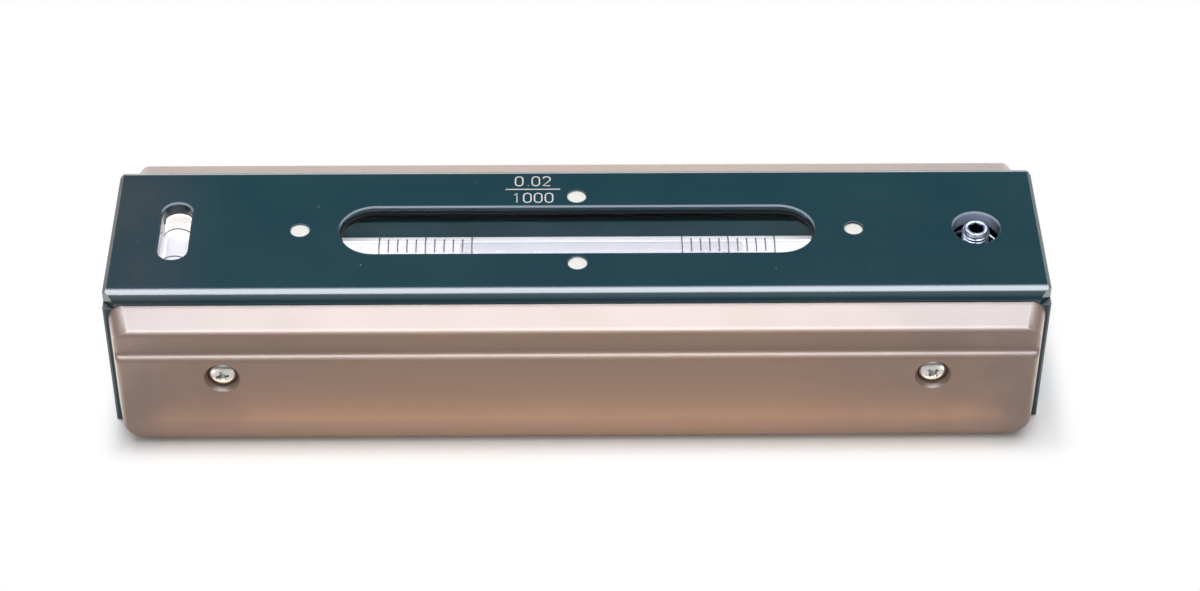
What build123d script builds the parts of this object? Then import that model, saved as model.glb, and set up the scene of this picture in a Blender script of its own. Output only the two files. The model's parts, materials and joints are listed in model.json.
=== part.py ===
from build123d import *
import math
import os

# A flat precision level, 200 mm long, for machine beds and shafts.
# X runs along the level, Y across it, Z up. The front side faces -Y.
# The origin is the middle of the underside. All lengths are in millimetres.

# Body
body_length = 200
body_width = 42.5
body_height = 36
body_edge_chamfer = 0.5
pocket_corner_radius = 3

# V-groove along the underside
groove_mouth = 20
groove_angle = 120
groove_relief_width = 1.6
groove_relief_depth = 0.9

# Top cover and its gasket
cover_thickness = 3
cover_edge_radius = 2.9
cover_end_chamfer = 0.9
cover_corner_cut = 2.5
cover_rim_chamfer = 0.3
gasket_thickness = 0.5
gasket_edge_setback = 0.4
gasket_lip = 0.7

# Main window
window_width = 15.2
window_to_cover_screw = 8.5
glass_drop = 2.1
glass_border = 1.1
glass_gap = 0.1
sealant_width = 0.45
sealant_height = 0.55

# Screws that hold the cover, under white filling
cover_screw_to_pivot = 10.5
cover_screw_beside_window = 3.4
cover_screw_diameter = 2.5
cover_screw_length = 8
cover_screw_head_diameter = 4
cover_screw_head_height = 1.2
cover_screw_head_rounding = 0.15
cover_screw_slot_width = 0.6
cover_screw_slot_depth = 0.5
filling_drop = 0.15
filling_height = 0.65
low_filling_height = 0.35
head_gap = 0.1
thread_gap = 0.05
hole_spare_depth = 1
post_diameter = 7

# Main vial
vial_diameter = 14
vial_wall = 1.2
vial_beyond_window = 2.2
vial_top_drop = 4.3
plug_spigot_length = 2.2
plug_flange_thickness = 1
bedding_thickness = 0.6
bedding_rise = 2.6
bubble_length_share = 0.6
bubble_height = 2.2
bubble_offset = 5.3
bubble_gap = 0.05
bubble_end_radius = 3.2

# Graduation of the main vial
division = 2
first_line_share = 0.2225
last_line_to_window_end = 8.3
long_line_every = 5
line_width = 0.3
line_thickness = 0.08
long_line_angle = 90
short_line_angle = 35

# Carrier of the main vial
carrier_wall = 0.9
carrier_floor = 1.4
carrier_top_drop = 4.4
carrier_end_wall = 1
carrier_end_gap = 0.3
carrier_corner_radius = 4
arm_width = 15
arm_thickness = 3
arm_rise = 4
arm_to_bracket_gap = 0.6
post_gap = 0.7
lug_half_width = 5.8
lug_radius = 3.2

# Main pocket of the body
pocket_side_gap = 0.5
pocket_floor_gap = 1.7
pocket_end_wall = 4.5
pocket_partition = 3.3

# Pivot of the carrier
pivot_to_pocket_end = 6
pin_diameter = 3
pin_gap = 0.05
cheek_thickness = 2.5
cheek_to_lug_gap = 0.2
cheek_half_length = 3
bracket_foot_thickness = 1.6
bracket_foot_half_length = 5.3
bracket_screw_offset = 2.9
bracket_screw_diameter = 2.5
bracket_screw_length = 6
bracket_screw_head_diameter = 4.4
bracket_screw_head_angle = 90

# Adjusting screw, its pad and its spring
adjusting_screw_to_end = 14
adjusting_hole_diameter = 10
adjusting_screw_diameter = 6
adjusting_screw_drop = 0.1
adjusting_screw_chamfer = 0.5
adjusting_tip_chamfer = 1
hex_across_flats = 3
hex_depth = 3.5
nut_boss_diameter = 9.6
nut_boss_above_arm = 3
nut_boss_below_arm = 0.8
nut_gap = 0.08
pad_diameter = 7
pad_seat_depth = 0.8
pad_rise = 1.85
tip_gap = 0.05
spring_wire = 1.1
spring_inner_gap = 0.3
spring_seat_gap = 0.05
spring_half_turns = 8
spring_hole_gap = 0.8
samples_per_half_turn = 40

# Cross vial
cross_vial_to_end = 13.7
cross_slot_end_gap = 1.1
cross_slot_width = 6.4
cross_vial_diameter = 7
cross_vial_wall = 0.8
cross_vial_top_drop = 3.3
cross_plug_spigot_length = 1.2
cross_plug_flange_thickness = 0.7
cross_bedding_thickness = 0.5
cross_bubble_length = 7.6
cross_bubble_height = 1.3
cross_bubble_end_radius = 1.8
cross_line_y = 4.5
cross_line_angle = 130

# Holder of the cross vial and its pocket
cross_pocket_width = 14
cross_pocket_side_wall = 4.25
cross_pocket_below_axis = 10.2
cross_holder_gap = 0.3
cross_block_to_screw = 2.6
cross_vial_to_block_end = 1.2
cross_flange_height = 5
cross_holder_chamfer = 0.4
cross_screw_to_wall = 2.9
cross_screw_diameter = 2.5
cross_screw_length = 8
cross_screw_head_diameter = 4.5
cross_screw_head_height = 1.6

# Side plates
plate_end_setback = 1.1
plate_end_taper = 1.9
plate_depth = 8
plate_bottom_z = 1.6
plate_top_drop = 2.5
plate_shelf_drop = 1.8
plate_upper_setback = 1
plate_band_height = 7.5
plate_ledge_drop = 0.5
plate_foot_height = 5.9
plate_bottom_setback = 1
plate_shelf_radius = 1.2
plate_ledge_rounding_share = 0.65
plate_break_radius = 2
plate_top_corner_radius = 3.6
plate_bottom_corner_radius = 4.2
plate_bottom_radius = 0.5
plate_end_radius = 1.2
plate_hollow_depth = 3.4
plate_hollow_margin = 3.5
plate_boss_diameter = 11
plate_screw_to_end = 23.8
plate_screw_below_ledge = 6
plate_screw_diameter = 3
plate_screw_length = 10
plate_screw_head_diameter = 6
plate_screw_head_height = 1.9
plate_screw_head_radius = 1.1
plate_screw_recess_diameter = 7.6
plate_screw_recess_depth = 2
plate_screw_head_gap = 0.2
plate_screw_gap = 0.1

# Places along the level that follow from the sizes above
adjusting_x = body_length / 2 - adjusting_screw_to_end
cross_x = cross_vial_to_end - body_length / 2
main_pocket_right_x = body_length / 2 - pocket_end_wall
main_pocket_left_x = cross_x + cross_pocket_width / 2 + pocket_partition
pivot_x = main_pocket_left_x + pivot_to_pocket_end
cover_screw_x = -pivot_x - cover_screw_to_pivot
cover_screw_y = window_width / 2 + cover_screw_beside_window
window_length = (cover_screw_x - window_to_cover_screw) * 2
vial_half_length = window_length / 2 + vial_beyond_window
bubble_length = window_length * bubble_length_share
first_line_x = window_length * first_line_share
divisions_per_side = round((window_length / 2 - last_line_to_window_end - first_line_x) / division)

# Levels that follow from the sizes above
cover_underside_z = body_height - cover_thickness
body_top_z = cover_underside_z - gasket_thickness
glass_thickness = cover_thickness - glass_drop
glass_top_z = body_height - glass_drop
vial_radius = vial_diameter / 2
vial_axis_z = body_height - vial_top_drop - vial_radius
bore_radius = vial_radius - vial_wall
bed_radius = vial_radius + bedding_thickness
carrier_bottom_z = vial_axis_z - bed_radius - carrier_floor
carrier_top_z = body_height - carrier_top_drop
carrier_half_width = bed_radius + carrier_wall
pocket_half_width = carrier_half_width + pocket_side_gap
pocket_floor_z = carrier_bottom_z - pocket_floor_gap
bed_half_length = vial_half_length + plug_flange_thickness + carrier_end_gap
carrier_half_length = bed_half_length + carrier_end_wall
arm_bottom_z = pocket_floor_z + arm_rise
arm_top_z = arm_bottom_z + arm_thickness
pivot_z = arm_bottom_z + arm_thickness / 2
eye_radius = post_diameter / 2 + post_gap
cheek_inner_y = lug_half_width + cheek_to_lug_gap
cheek_outer_y = cheek_inner_y + cheek_thickness
screw_top_z = body_height - adjusting_screw_drop
screw_tip_z = pocket_floor_z + pad_rise + tip_gap
adjusting_screw_length = screw_top_z - screw_tip_z
cover_screw_seat_depth = filling_drop + filling_height + cover_screw_head_height
cover_screw_seat_z = body_height - cover_screw_seat_depth
main_pocket_length = main_pocket_right_x - main_pocket_left_x
main_pocket_x = (main_pocket_right_x + main_pocket_left_x) / 2
cross_vial_radius = cross_vial_diameter / 2
cross_axis_z = body_height - cross_vial_top_drop - cross_vial_radius
cross_bore_radius = cross_vial_radius - cross_vial_wall
cross_bed_radius = cross_vial_radius + cross_bedding_thickness
cross_pocket_floor_z = cross_axis_z - cross_pocket_below_axis
cross_pocket_half_length = body_width / 2 - cross_pocket_side_wall
cross_screw_y = cross_pocket_half_length - cross_screw_to_wall
cross_block_half_length = cross_screw_y - cross_block_to_screw
cross_vial_half_length = cross_block_half_length - cross_vial_to_block_end
cross_slot_length = (cross_vial_half_length - cross_slot_end_gap) * 2
plate_length = body_length - plate_end_setback * 2
plate_top_z = body_height - plate_top_drop
plate_ledge_z = plate_top_z - plate_band_height
plate_break_z = plate_bottom_z + plate_foot_height
plate_ledge_length = math.hypot(plate_upper_setback, plate_ledge_drop)
plate_ledge_turn = math.atan2(plate_upper_setback, plate_ledge_drop)
plate_ledge_radius = plate_ledge_length * plate_ledge_rounding_share / math.tan(plate_ledge_turn / 2)
plate_shelf_slope = plate_shelf_drop / (plate_depth - plate_upper_setback)
plate_screw_x = plate_length / 2 - plate_screw_to_end
plate_screw_z = plate_ledge_z - plate_screw_below_ledge
plate_outer_y = body_width / 2 + plate_depth
plate_screw_seat_y = plate_outer_y - plate_screw_recess_depth
cover_screw_places = [
    (-cover_screw_x, 0),
    (cover_screw_x, 0),
    (0, cover_screw_y),
    (0, -cover_screw_y),
]


def finish(builder, name):
    """Name a finished piece and write it out."""
    builder.part.label = name
    export_step(builder.part, f"parts/{name}.step")


def headed_screw(head_diameter, head_height, head_rounding, shank_diameter, shank_length):
    """A round-headed screw, its head's underside at the origin and its shank down -Z."""
    head_radius = head_diameter / 2
    with BuildPart() as screw:
        with BuildSketch(Plane.XZ):
            with BuildLine():
                Polyline(
                    (0, head_height),
                    (head_radius, head_height),
                    (head_radius, 0),
                    (shank_diameter / 2, 0),
                    (shank_diameter / 2, -shank_length),
                    (0, -shank_length),
                    close=True,
                )
            make_face()
            crown = vertices().group_by(Axis.Y)[-1].sort_by(Axis.X)[-1]
            fillet(crown, head_rounding)
        revolve(axis=Axis.Z)
    return screw.part


def outward(x, side, y, z):
    """A plane at a place on the front (-1) or rear (1) side, facing away from the level."""
    return Plane(origin=(x, side * y, z), x_dir=(-side, 0, 0), z_dir=(0, side, 0))


os.makedirs("parts", exist_ok=True)

# Iron body: a block with the V-groove below and two pockets above. Round posts
# in the main pocket carry the two cover screws that stand on the centre line.
groove_slope = math.tan(math.radians((180 - groove_angle) / 2))
relief_half_width = groove_relief_width / 2
groove_depth = (groove_mouth / 2 - relief_half_width) * groove_slope
relief_top_z = groove_depth + groove_relief_depth

with BuildPart() as base_casting:
    with BuildSketch(Plane.YZ.offset(-body_length / 2)):
        Rectangle(body_width, body_top_z, align=(Align.CENTER, Align.MIN))
        chamfer(vertices().group_by(Axis.Y)[0], body_edge_chamfer)
        with BuildLine():
            Polyline(
                (-groove_mouth / 2, 0),
                (-relief_half_width, groove_depth),
                (-relief_half_width, relief_top_z),
                (relief_half_width, relief_top_z),
                (relief_half_width, groove_depth),
                (groove_mouth / 2, 0),
                close=True,
            )
        make_face(mode=Mode.SUBTRACT)
    extrude(amount=body_length)
    end_faces = faces().filter_by(Axis.X)
    chamfer(end_faces.edges().filter_by(Axis.Z).group_by(SortBy.LENGTH)[-1], body_edge_chamfer)
    with BuildSketch(Plane.XY.offset(body_top_z)):
        with Locations((main_pocket_x, 0)):
            RectangleRounded(main_pocket_length, pocket_half_width * 2, pocket_corner_radius)
    extrude(amount=pocket_floor_z - body_top_z, mode=Mode.SUBTRACT)
    with BuildSketch(Plane.XY.offset(body_top_z)):
        with Locations((cross_x, 0)):
            RectangleRounded(cross_pocket_width, cross_pocket_half_length * 2, pocket_corner_radius)
    extrude(amount=cross_pocket_floor_z - body_top_z, mode=Mode.SUBTRACT)
    with BuildSketch(Plane.XY.offset(pocket_floor_z)):
        with Locations((-cover_screw_x, 0), (cover_screw_x, 0)):
            Circle(post_diameter / 2)
    extrude(amount=body_top_z - pocket_floor_z)
    with Locations(*[(x, y, body_top_z) for x, y in cover_screw_places]):
        Hole(
            cover_screw_diameter / 2 + thread_gap,
            depth=body_top_z + cover_screw_length - cover_screw_seat_z + hole_spare_depth,
        )
    with Locations(
        (pivot_x - bracket_screw_offset, 0, pocket_floor_z),
        (pivot_x + bracket_screw_offset, 0, pocket_floor_z),
    ):
        Hole(bracket_screw_diameter / 2 + thread_gap, depth=bracket_screw_length)
    with Locations((adjusting_x, 0, pocket_floor_z)):
        Hole(pad_diameter / 2 + thread_gap, depth=pad_seat_depth)
    with Locations((cross_x, -cross_screw_y, cross_pocket_floor_z),
                   (cross_x, cross_screw_y, cross_pocket_floor_z)):
        Hole(cross_screw_diameter / 2 + thread_gap, depth=cross_screw_length)
    with Locations(*[
        outward(x, side, body_width / 2, plate_screw_z)
        for side in (-1, 1)
        for x in (-plate_screw_x, plate_screw_x)
    ]):
        Hole(plate_screw_diameter / 2 + thread_gap, depth=plate_screw_length)
finish(base_casting, "base_casting")

# Top cover: long edges rounded over, corners cut at 45 degrees, three openings
# and four sunk screw seats. The glass lies in a rebate on its underside.
with BuildPart() as top_cover:
    with BuildSketch(Plane.YZ.offset(-body_length / 2)):
        with Locations((0, cover_underside_z)):
            Rectangle(body_width, cover_thickness, align=(Align.CENTER, Align.MIN))
        fillet(vertices().group_by(Axis.Y)[-1], cover_edge_radius)
    extrude(amount=body_length)
    with BuildSketch(Plane.XZ):
        with Locations((0, cover_underside_z)):
            Rectangle(body_length, cover_thickness, align=(Align.CENTER, Align.MIN))
        chamfer(vertices().group_by(Axis.Y)[-1], cover_end_chamfer)
    extrude(amount=body_width, both=True, mode=Mode.INTERSECT)
    with BuildSketch(Plane.XY.offset(cover_underside_z)):
        Rectangle(body_length, body_width)
        chamfer(vertices(), cover_corner_cut)
    extrude(amount=cover_thickness, mode=Mode.INTERSECT)
    with BuildSketch(Plane.XY.offset(body_height)):
        SlotOverall(window_length, window_width)
        with Locations((cross_x, 0)):
            SlotOverall(cross_slot_length, cross_slot_width, rotation=90)
        with Locations((adjusting_x, 0)):
            Circle(adjusting_hole_diameter / 2)
    extrude(amount=-cover_thickness, mode=Mode.SUBTRACT)
    top_face = faces().filter_by(Axis.Z).sort_by(Axis.Z)[-1]
    chamfer([edge for wire in top_face.inner_wires() for edge in wire.edges()], cover_rim_chamfer)
    with BuildSketch(Plane.XY.offset(cover_underside_z)):
        SlotOverall(window_length + glass_border * 2, window_width + glass_border * 2)
    extrude(amount=glass_thickness, mode=Mode.SUBTRACT)
    with Locations(*[(x, y, body_height) for x, y in cover_screw_places]):
        CounterBoreHole(
            radius=cover_screw_diameter / 2 + head_gap,
            counter_bore_radius=cover_screw_head_diameter / 2 + head_gap,
            counter_bore_depth=cover_screw_seat_depth,
        )
finish(top_cover, "top_cover")

# Gasket between cover and body, with lips that carry the edge of the glass
with BuildPart() as cover_gasket:
    with BuildSketch(Plane.XY.offset(body_top_z)):
        Rectangle(body_length, body_width)
        chamfer(vertices(), cover_corner_cut)
        offset(amount=-gasket_edge_setback, kind=Kind.INTERSECTION)
        SlotOverall(
            window_length + glass_border * 2 - gasket_lip * 2,
            window_width + glass_border * 2 - gasket_lip * 2,
            mode=Mode.SUBTRACT,
        )
        with Locations((cross_x, 0)):
            Rectangle(
                cross_bed_radius * 2,
                (cross_vial_half_length + cross_plug_flange_thickness + gasket_lip) * 2,
                mode=Mode.SUBTRACT,
            )
        with Locations((adjusting_x, 0)):
            Circle(
                nut_boss_diameter / 2 + spring_inner_gap + spring_wire + spring_hole_gap,
                mode=Mode.SUBTRACT,
            )
        with Locations(*cover_screw_places):
            Circle(cover_screw_diameter / 2 + head_gap, mode=Mode.SUBTRACT)
    extrude(amount=gasket_thickness)
finish(cover_gasket, "cover_gasket")

# Window glass, flush with the underside of the cover
with BuildPart() as window_glass:
    with BuildSketch(Plane.XY.offset(cover_underside_z)):
        SlotOverall(
            window_length + glass_border * 2 - glass_gap * 2,
            window_width + glass_border * 2 - glass_gap * 2,
        )
    extrude(amount=glass_thickness)
finish(window_glass, "window_glass")

# Black bead that seals the glass to the wall of the window
with BuildPart() as window_sealant:
    with BuildSketch(Plane.XY.offset(glass_top_z)):
        SlotOverall(window_length, window_width)
        SlotOverall(
            window_length - sealant_width * 2,
            window_width - sealant_width * 2,
            mode=Mode.SUBTRACT,
        )
    extrude(amount=sealant_height)
finish(window_sealant, "window_sealant")

# Slotted screws of the cover
with BuildPart() as cheese_head:
    add(headed_screw(cover_screw_head_diameter, cover_screw_head_height, cover_screw_head_rounding,
                     cover_screw_diameter, cover_screw_length))
    with BuildSketch(Plane.XY.offset(cover_screw_head_height)):
        Rectangle(cover_screw_head_diameter, cover_screw_slot_width)
    extrude(amount=-cover_screw_slot_depth, mode=Mode.SUBTRACT)
with BuildPart() as cover_screws:
    with Locations(*[(x, y, cover_screw_seat_z) for x, y in cover_screw_places]):
        add(cheese_head.part)
finish(cover_screws, "cover_screws")

# White filling over each cover screw. The one on the right has sunk a little.
with BuildPart() as cover_screw_fillings:
    with BuildSketch(Plane.XY.offset(cover_screw_seat_z + cover_screw_head_height)):
        with Locations(*cover_screw_places):
            Circle(cover_screw_head_diameter / 2 + head_gap)
    extrude(amount=filling_height)
    with BuildSketch(Plane.XY.offset(cover_screw_seat_z + cover_screw_head_height + low_filling_height)):
        with Locations((cover_screw_x, 0)):
            Circle(cover_screw_head_diameter / 2 + head_gap)
    extrude(amount=filling_height, mode=Mode.SUBTRACT)
finish(cover_screw_fillings, "cover_screw_fillings")

# Carrier of the main vial: a closed trough on an arm that forks round the posts
# and ends in the nut of the adjusting screw
with BuildPart() as main_vial_carrier:
    with BuildSketch(Plane.YZ.offset(-carrier_half_length)):
        with Locations((0, carrier_bottom_z)):
            Rectangle(
                carrier_half_width * 2,
                carrier_top_z - carrier_bottom_z,
                align=(Align.CENTER, Align.MIN),
            )
        fillet(vertices().group_by(Axis.Y)[0], carrier_corner_radius)
    extrude(amount=carrier_half_length * 2)
    with BuildSketch(Plane.YZ.offset(-bed_half_length)):
        with Locations((0, vial_axis_z)):
            Circle(bed_radius)
            Rectangle(
                bed_radius * 2,
                carrier_top_z - vial_axis_z,
                align=(Align.CENTER, Align.MIN),
            )
    extrude(amount=bed_half_length * 2, mode=Mode.SUBTRACT)
    arm_left_x = pivot_x + cheek_half_length + arm_to_bracket_gap
    with BuildSketch(Plane.XY.offset(arm_bottom_z)):
        with Locations((carrier_half_length, 0)):
            Rectangle(adjusting_x - carrier_half_length, arm_width, align=(Align.MIN, Align.CENTER))
        with Locations((adjusting_x, 0)):
            Circle(arm_width / 2)
        with Locations((-carrier_half_length, 0)):
            Rectangle(-carrier_half_length - arm_left_x, arm_width, align=(Align.MAX, Align.CENTER))
        with Locations((arm_left_x, 0)):
            Rectangle(arm_left_x - pivot_x, lug_half_width * 2, align=(Align.MAX, Align.CENTER))
    extrude(amount=arm_thickness)
    with BuildSketch(Plane.XY.offset(arm_bottom_z - nut_boss_below_arm)):
        with Locations((adjusting_x, 0)):
            Circle(nut_boss_diameter / 2)
    extrude(amount=nut_boss_below_arm + arm_thickness + nut_boss_above_arm)
    with BuildSketch(Plane.XZ):
        with Locations((pivot_x, pivot_z)):
            Circle(lug_radius)
    extrude(amount=lug_half_width, both=True)
    with Locations((-cover_screw_x, 0, arm_top_z), (cover_screw_x, 0, arm_top_z)):
        Hole(eye_radius, depth=arm_thickness)
    with Locations((adjusting_x, 0, arm_top_z + nut_boss_above_arm)):
        Hole(
            adjusting_screw_diameter / 2 + nut_gap,
            depth=nut_boss_below_arm + arm_thickness + nut_boss_above_arm,
        )
    with Locations(outward(pivot_x, -1, lug_half_width, pivot_z)):
        Hole(pin_diameter / 2, depth=lug_half_width * 2)
finish(main_vial_carrier, "main_vial_carrier")

# White plaster that beds the main vial to above its axis and backs it
with BuildPart() as main_vial_bedding:
    with BuildSketch(Plane.YZ.offset(-vial_half_length)):
        with Locations((0, vial_axis_z)):
            Circle(bed_radius)
            Rectangle(bed_radius * 2, bed_radius, align=(Align.CENTER, Align.MIN), mode=Mode.SUBTRACT)
            Rectangle(bed_radius * 2, bedding_rise, align=(Align.CENTER, Align.MIN))
            Circle(vial_radius, mode=Mode.SUBTRACT)
    extrude(amount=vial_half_length * 2)
finish(main_vial_bedding, "main_vial_bedding")

# Glass tube of the main vial
with BuildPart() as main_vial_tube:
    with BuildSketch(Plane.YZ.offset(-vial_half_length)):
        with Locations((0, vial_axis_z)):
            Circle(vial_radius)
            Circle(bore_radius, mode=Mode.SUBTRACT)
    extrude(amount=vial_half_length * 2)
finish(main_vial_tube, "main_vial_tube")


def end_plugs(axis_plane, outer_radius, inner_radius, half_length, spigot_length, flange_thickness):
    """A pair of stepped plugs that close a tube, on a plane normal to its axis."""
    with BuildPart() as plugs:
        with BuildSketch(axis_plane.offset(half_length)):
            Circle(outer_radius)
        extrude(amount=flange_thickness)
        with BuildSketch(axis_plane.offset(half_length)):
            Circle(inner_radius)
        extrude(amount=-spigot_length)
        mirror(about=axis_plane)
    return plugs.part


main_axis_plane = Plane(origin=(0, 0, vial_axis_z), x_dir=(0, 1, 0), z_dir=(1, 0, 0))
with BuildPart() as main_vial_end_plugs:
    add(end_plugs(main_axis_plane, vial_radius, bore_radius, vial_half_length,
                  plug_spigot_length, plug_flange_thickness))
finish(main_vial_end_plugs, "main_vial_end_plugs")


# Liquid of the main vial: it fills the bore but for the headroom that the bubble runs in
liquid_half_length = vial_half_length - plug_spigot_length
headroom_height = bore_radius - bubble_height
with BuildPart() as main_vial_liquid:
    with BuildSketch(main_axis_plane.offset(-liquid_half_length)):
        Circle(bore_radius)
        with Locations((0, headroom_height)):
            Rectangle(bore_radius * 2, bubble_height, align=(Align.CENTER, Align.MIN), mode=Mode.SUBTRACT)
    extrude(amount=liquid_half_length * 2)
finish(main_vial_liquid, "main_vial_liquid")

# Bubble of the main vial, a long lens with rounded ends, off centre as it is seen
with BuildPart() as main_vial_bubble:
    with BuildSketch(main_axis_plane.offset(bubble_offset - bubble_length / 2)):
        Circle(bore_radius - bubble_gap)
        with Locations((0, headroom_height + bubble_gap)):
            Rectangle(bore_radius * 2, bubble_height, align=(Align.CENTER, Align.MIN), mode=Mode.INTERSECT)
    extrude(amount=bubble_length)
    with BuildSketch(Plane.XY.offset(vial_axis_z)):
        with Locations((bubble_offset, 0)):
            RectangleRounded(bubble_length, bore_radius * 2, bubble_end_radius)
    extrude(amount=vial_radius, mode=Mode.INTERSECT)
finish(main_vial_bubble, "main_vial_bubble")


def ring_line(axis_plane, along, radius, angle):
    """A line printed round the top of a tube, as a thin arc of ink."""
    with BuildPart() as line:
        with BuildSketch(axis_plane.offset(along - line_width / 2)):
            with BuildLine():
                CenterArc((0, 0), radius, 90 - angle / 2, angle)
                CenterArc((0, 0), radius + line_thickness, 90 - angle / 2, angle)
                for side in (90 - angle / 2, 90 + angle / 2):
                    Line(
                        Vector(radius, 0).rotate(Axis.Z, side),
                        Vector(radius + line_thickness, 0).rotate(Axis.Z, side),
                    )
            make_face()
        extrude(amount=line_width)
    return line.part


# Graduation of the main vial: two groups of lines, every fifth one long
with BuildPart() as main_vial_graduations:
    for side in (-1, 1):
        for index in range(divisions_per_side + 1):
            line_x = side * (first_line_x + index * division)
            is_long = index % long_line_every == 0
            line_angle = long_line_angle if is_long else short_line_angle
            add(ring_line(main_axis_plane, line_x, vial_radius, line_angle))
finish(main_vial_graduations, "main_vial_graduations")

# Pivot pin, pressed in the lug of the carrier
with BuildPart() as pivot_pin:
    with BuildSketch(Plane.XZ):
        with Locations((pivot_x, pivot_z)):
            Circle(pin_diameter / 2)
    extrude(amount=cheek_outer_y, both=True)
finish(pivot_pin, "pivot_pin")

# Bracket on the pocket floor with two cheeks in which the pin turns
with BuildPart() as pivot_bracket:
    with BuildSketch(Plane.XY.offset(pocket_floor_z)):
        with Locations((pivot_x, 0)):
            RectangleRounded(bracket_foot_half_length * 2, cheek_outer_y * 2, pocket_corner_radius)
    extrude(amount=bracket_foot_thickness)
    with BuildSketch(Plane.XZ):
        with Locations((pivot_x, pivot_z)):
            Circle(cheek_half_length)
            Rectangle(
                cheek_half_length * 2,
                pivot_z - pocket_floor_z,
                align=(Align.CENTER, Align.MAX),
            )
    extrude(amount=cheek_outer_y, both=True)
    with BuildSketch(Plane.XZ):
        with Locations((pivot_x, pocket_floor_z + bracket_foot_thickness)):
            Rectangle(
                bracket_foot_half_length * 2,
                pivot_z + cheek_half_length - pocket_floor_z,
                align=(Align.CENTER, Align.MIN),
            )
    extrude(amount=cheek_inner_y, both=True, mode=Mode.SUBTRACT)
    with Locations(outward(pivot_x, -1, cheek_outer_y, pivot_z)):
        Hole(pin_diameter / 2 + pin_gap, depth=cheek_outer_y * 2)
    with Locations(
        (pivot_x - bracket_screw_offset, 0, pocket_floor_z + bracket_foot_thickness),
        (pivot_x + bracket_screw_offset, 0, pocket_floor_z + bracket_foot_thickness),
    ):
        CounterSinkHole(
            radius=bracket_screw_diameter / 2 + thread_gap,
            counter_sink_radius=bracket_screw_head_diameter / 2 + thread_gap,
            counter_sink_angle=bracket_screw_head_angle,
        )
finish(pivot_bracket, "pivot_bracket")

# Flat-headed screws of the bracket
bracket_head_height = (bracket_screw_head_diameter - bracket_screw_diameter) / 2
with BuildPart() as flat_head:
    with BuildSketch(Plane.XZ):
        with BuildLine():
            Polyline(
                (0, 0),
                (bracket_screw_head_diameter / 2, 0),
                (bracket_screw_diameter / 2, -bracket_head_height),
                (bracket_screw_diameter / 2, -bracket_screw_length),
                (0, -bracket_screw_length),
                close=True,
            )
        make_face()
    revolve(axis=Axis.Z)
with BuildPart() as pivot_bracket_screws:
    with Locations(
        (pivot_x - bracket_screw_offset, 0, pocket_floor_z + bracket_foot_thickness),
        (pivot_x + bracket_screw_offset, 0, pocket_floor_z + bracket_foot_thickness),
    ):
        add(flat_head.part)
finish(pivot_bracket_screws, "pivot_bracket_screws")

# Adjusting screw: a headless screw with a hexagon socket, chamfered at both ends
with BuildPart() as adjusting_screw:
    with BuildSketch(Plane.XY.offset(screw_tip_z)):
        with Locations((adjusting_x, 0)):
            Circle(adjusting_screw_diameter / 2)
    extrude(amount=adjusting_screw_length)
    chamfer(edges().sort_by(Axis.Z)[-1], adjusting_screw_chamfer)
    chamfer(edges().sort_by(Axis.Z)[0], adjusting_tip_chamfer)
    with BuildSketch(Plane.XY.offset(screw_top_z)):
        with Locations((adjusting_x, 0)):
            RegularPolygon(hex_across_flats / 2, side_count=6, major_radius=False)
    extrude(amount=-hex_depth, mode=Mode.SUBTRACT)
finish(adjusting_screw, "adjusting_screw")

# Hard pad let into the pocket floor, on which the tip of the screw turns
with BuildPart() as thrust_pad:
    with BuildSketch(Plane.XY.offset(pocket_floor_z - pad_seat_depth)):
        with Locations((adjusting_x, 0)):
            Circle(pad_diameter / 2)
    extrude(amount=pad_seat_depth + pad_rise)
finish(thrust_pad, "thrust_pad")

# Spring that presses the arm down onto the screw: half turns of one coil, each
# drawn with two arcs that meet in line
spring_radius = nut_boss_diameter / 2 + spring_inner_gap + spring_wire / 2
spring_low_z = arm_top_z + spring_seat_gap + spring_wire / 2
spring_high_z = cover_underside_z - spring_seat_gap - spring_wire / 2
half_turn_rise = (spring_high_z - spring_low_z) / spring_half_turns


def spring_point(half_turns):
    """A point on the middle of the spring's wire."""
    angle = math.pi * half_turns
    return Vector(
        adjusting_x + spring_radius * math.cos(angle),
        spring_radius * math.sin(angle),
        spring_low_z + half_turn_rise * half_turns,
    )


def spring_direction(half_turns):
    """The direction of the spring's wire at that point."""
    angle = math.pi * half_turns
    along = math.pi * spring_radius
    return Vector(-along * math.sin(angle), along * math.cos(angle), half_turn_rise).normalized()


with BuildPart() as adjusting_spring:
    with BuildLine() as spring_path:
        for turn in range(spring_half_turns):
            start, end = spring_point(turn), spring_point(turn + 1)
            leave, arrive = spring_direction(turn), spring_direction(turn + 1)
            chord = end - start
            both = leave + arrive
            slack = 4 - both.dot(both)
            reach = (math.sqrt(chord.dot(both) ** 2 + chord.dot(chord) * slack) - chord.dot(both)) / slack
            first_corner = start + leave * reach
            second_corner = end - arrive * reach
            middle = (first_corner + second_corner) / 2
            TangentArc(start, middle, tangent=leave)
            TangentArc(middle, end, tangent=second_corner - first_corner)
    with BuildSketch(Plane(origin=spring_point(0), z_dir=spring_direction(0))):
        Circle(spring_wire / 2)
    sweep(path=spring_path.line)
finish(adjusting_spring, "adjusting_spring")
samples = [
    spring_point(index / samples_per_half_turn)
    for index in range(spring_half_turns * samples_per_half_turn + 1)
]
least_gap = min(
    (samples[i] - samples[j]).length - spring_wire
    for i in range(len(samples))
    for j in range(i + samples_per_half_turn, len(samples))
)
print(f"spring: least gap between turns {least_gap:.2f} mm")

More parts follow.
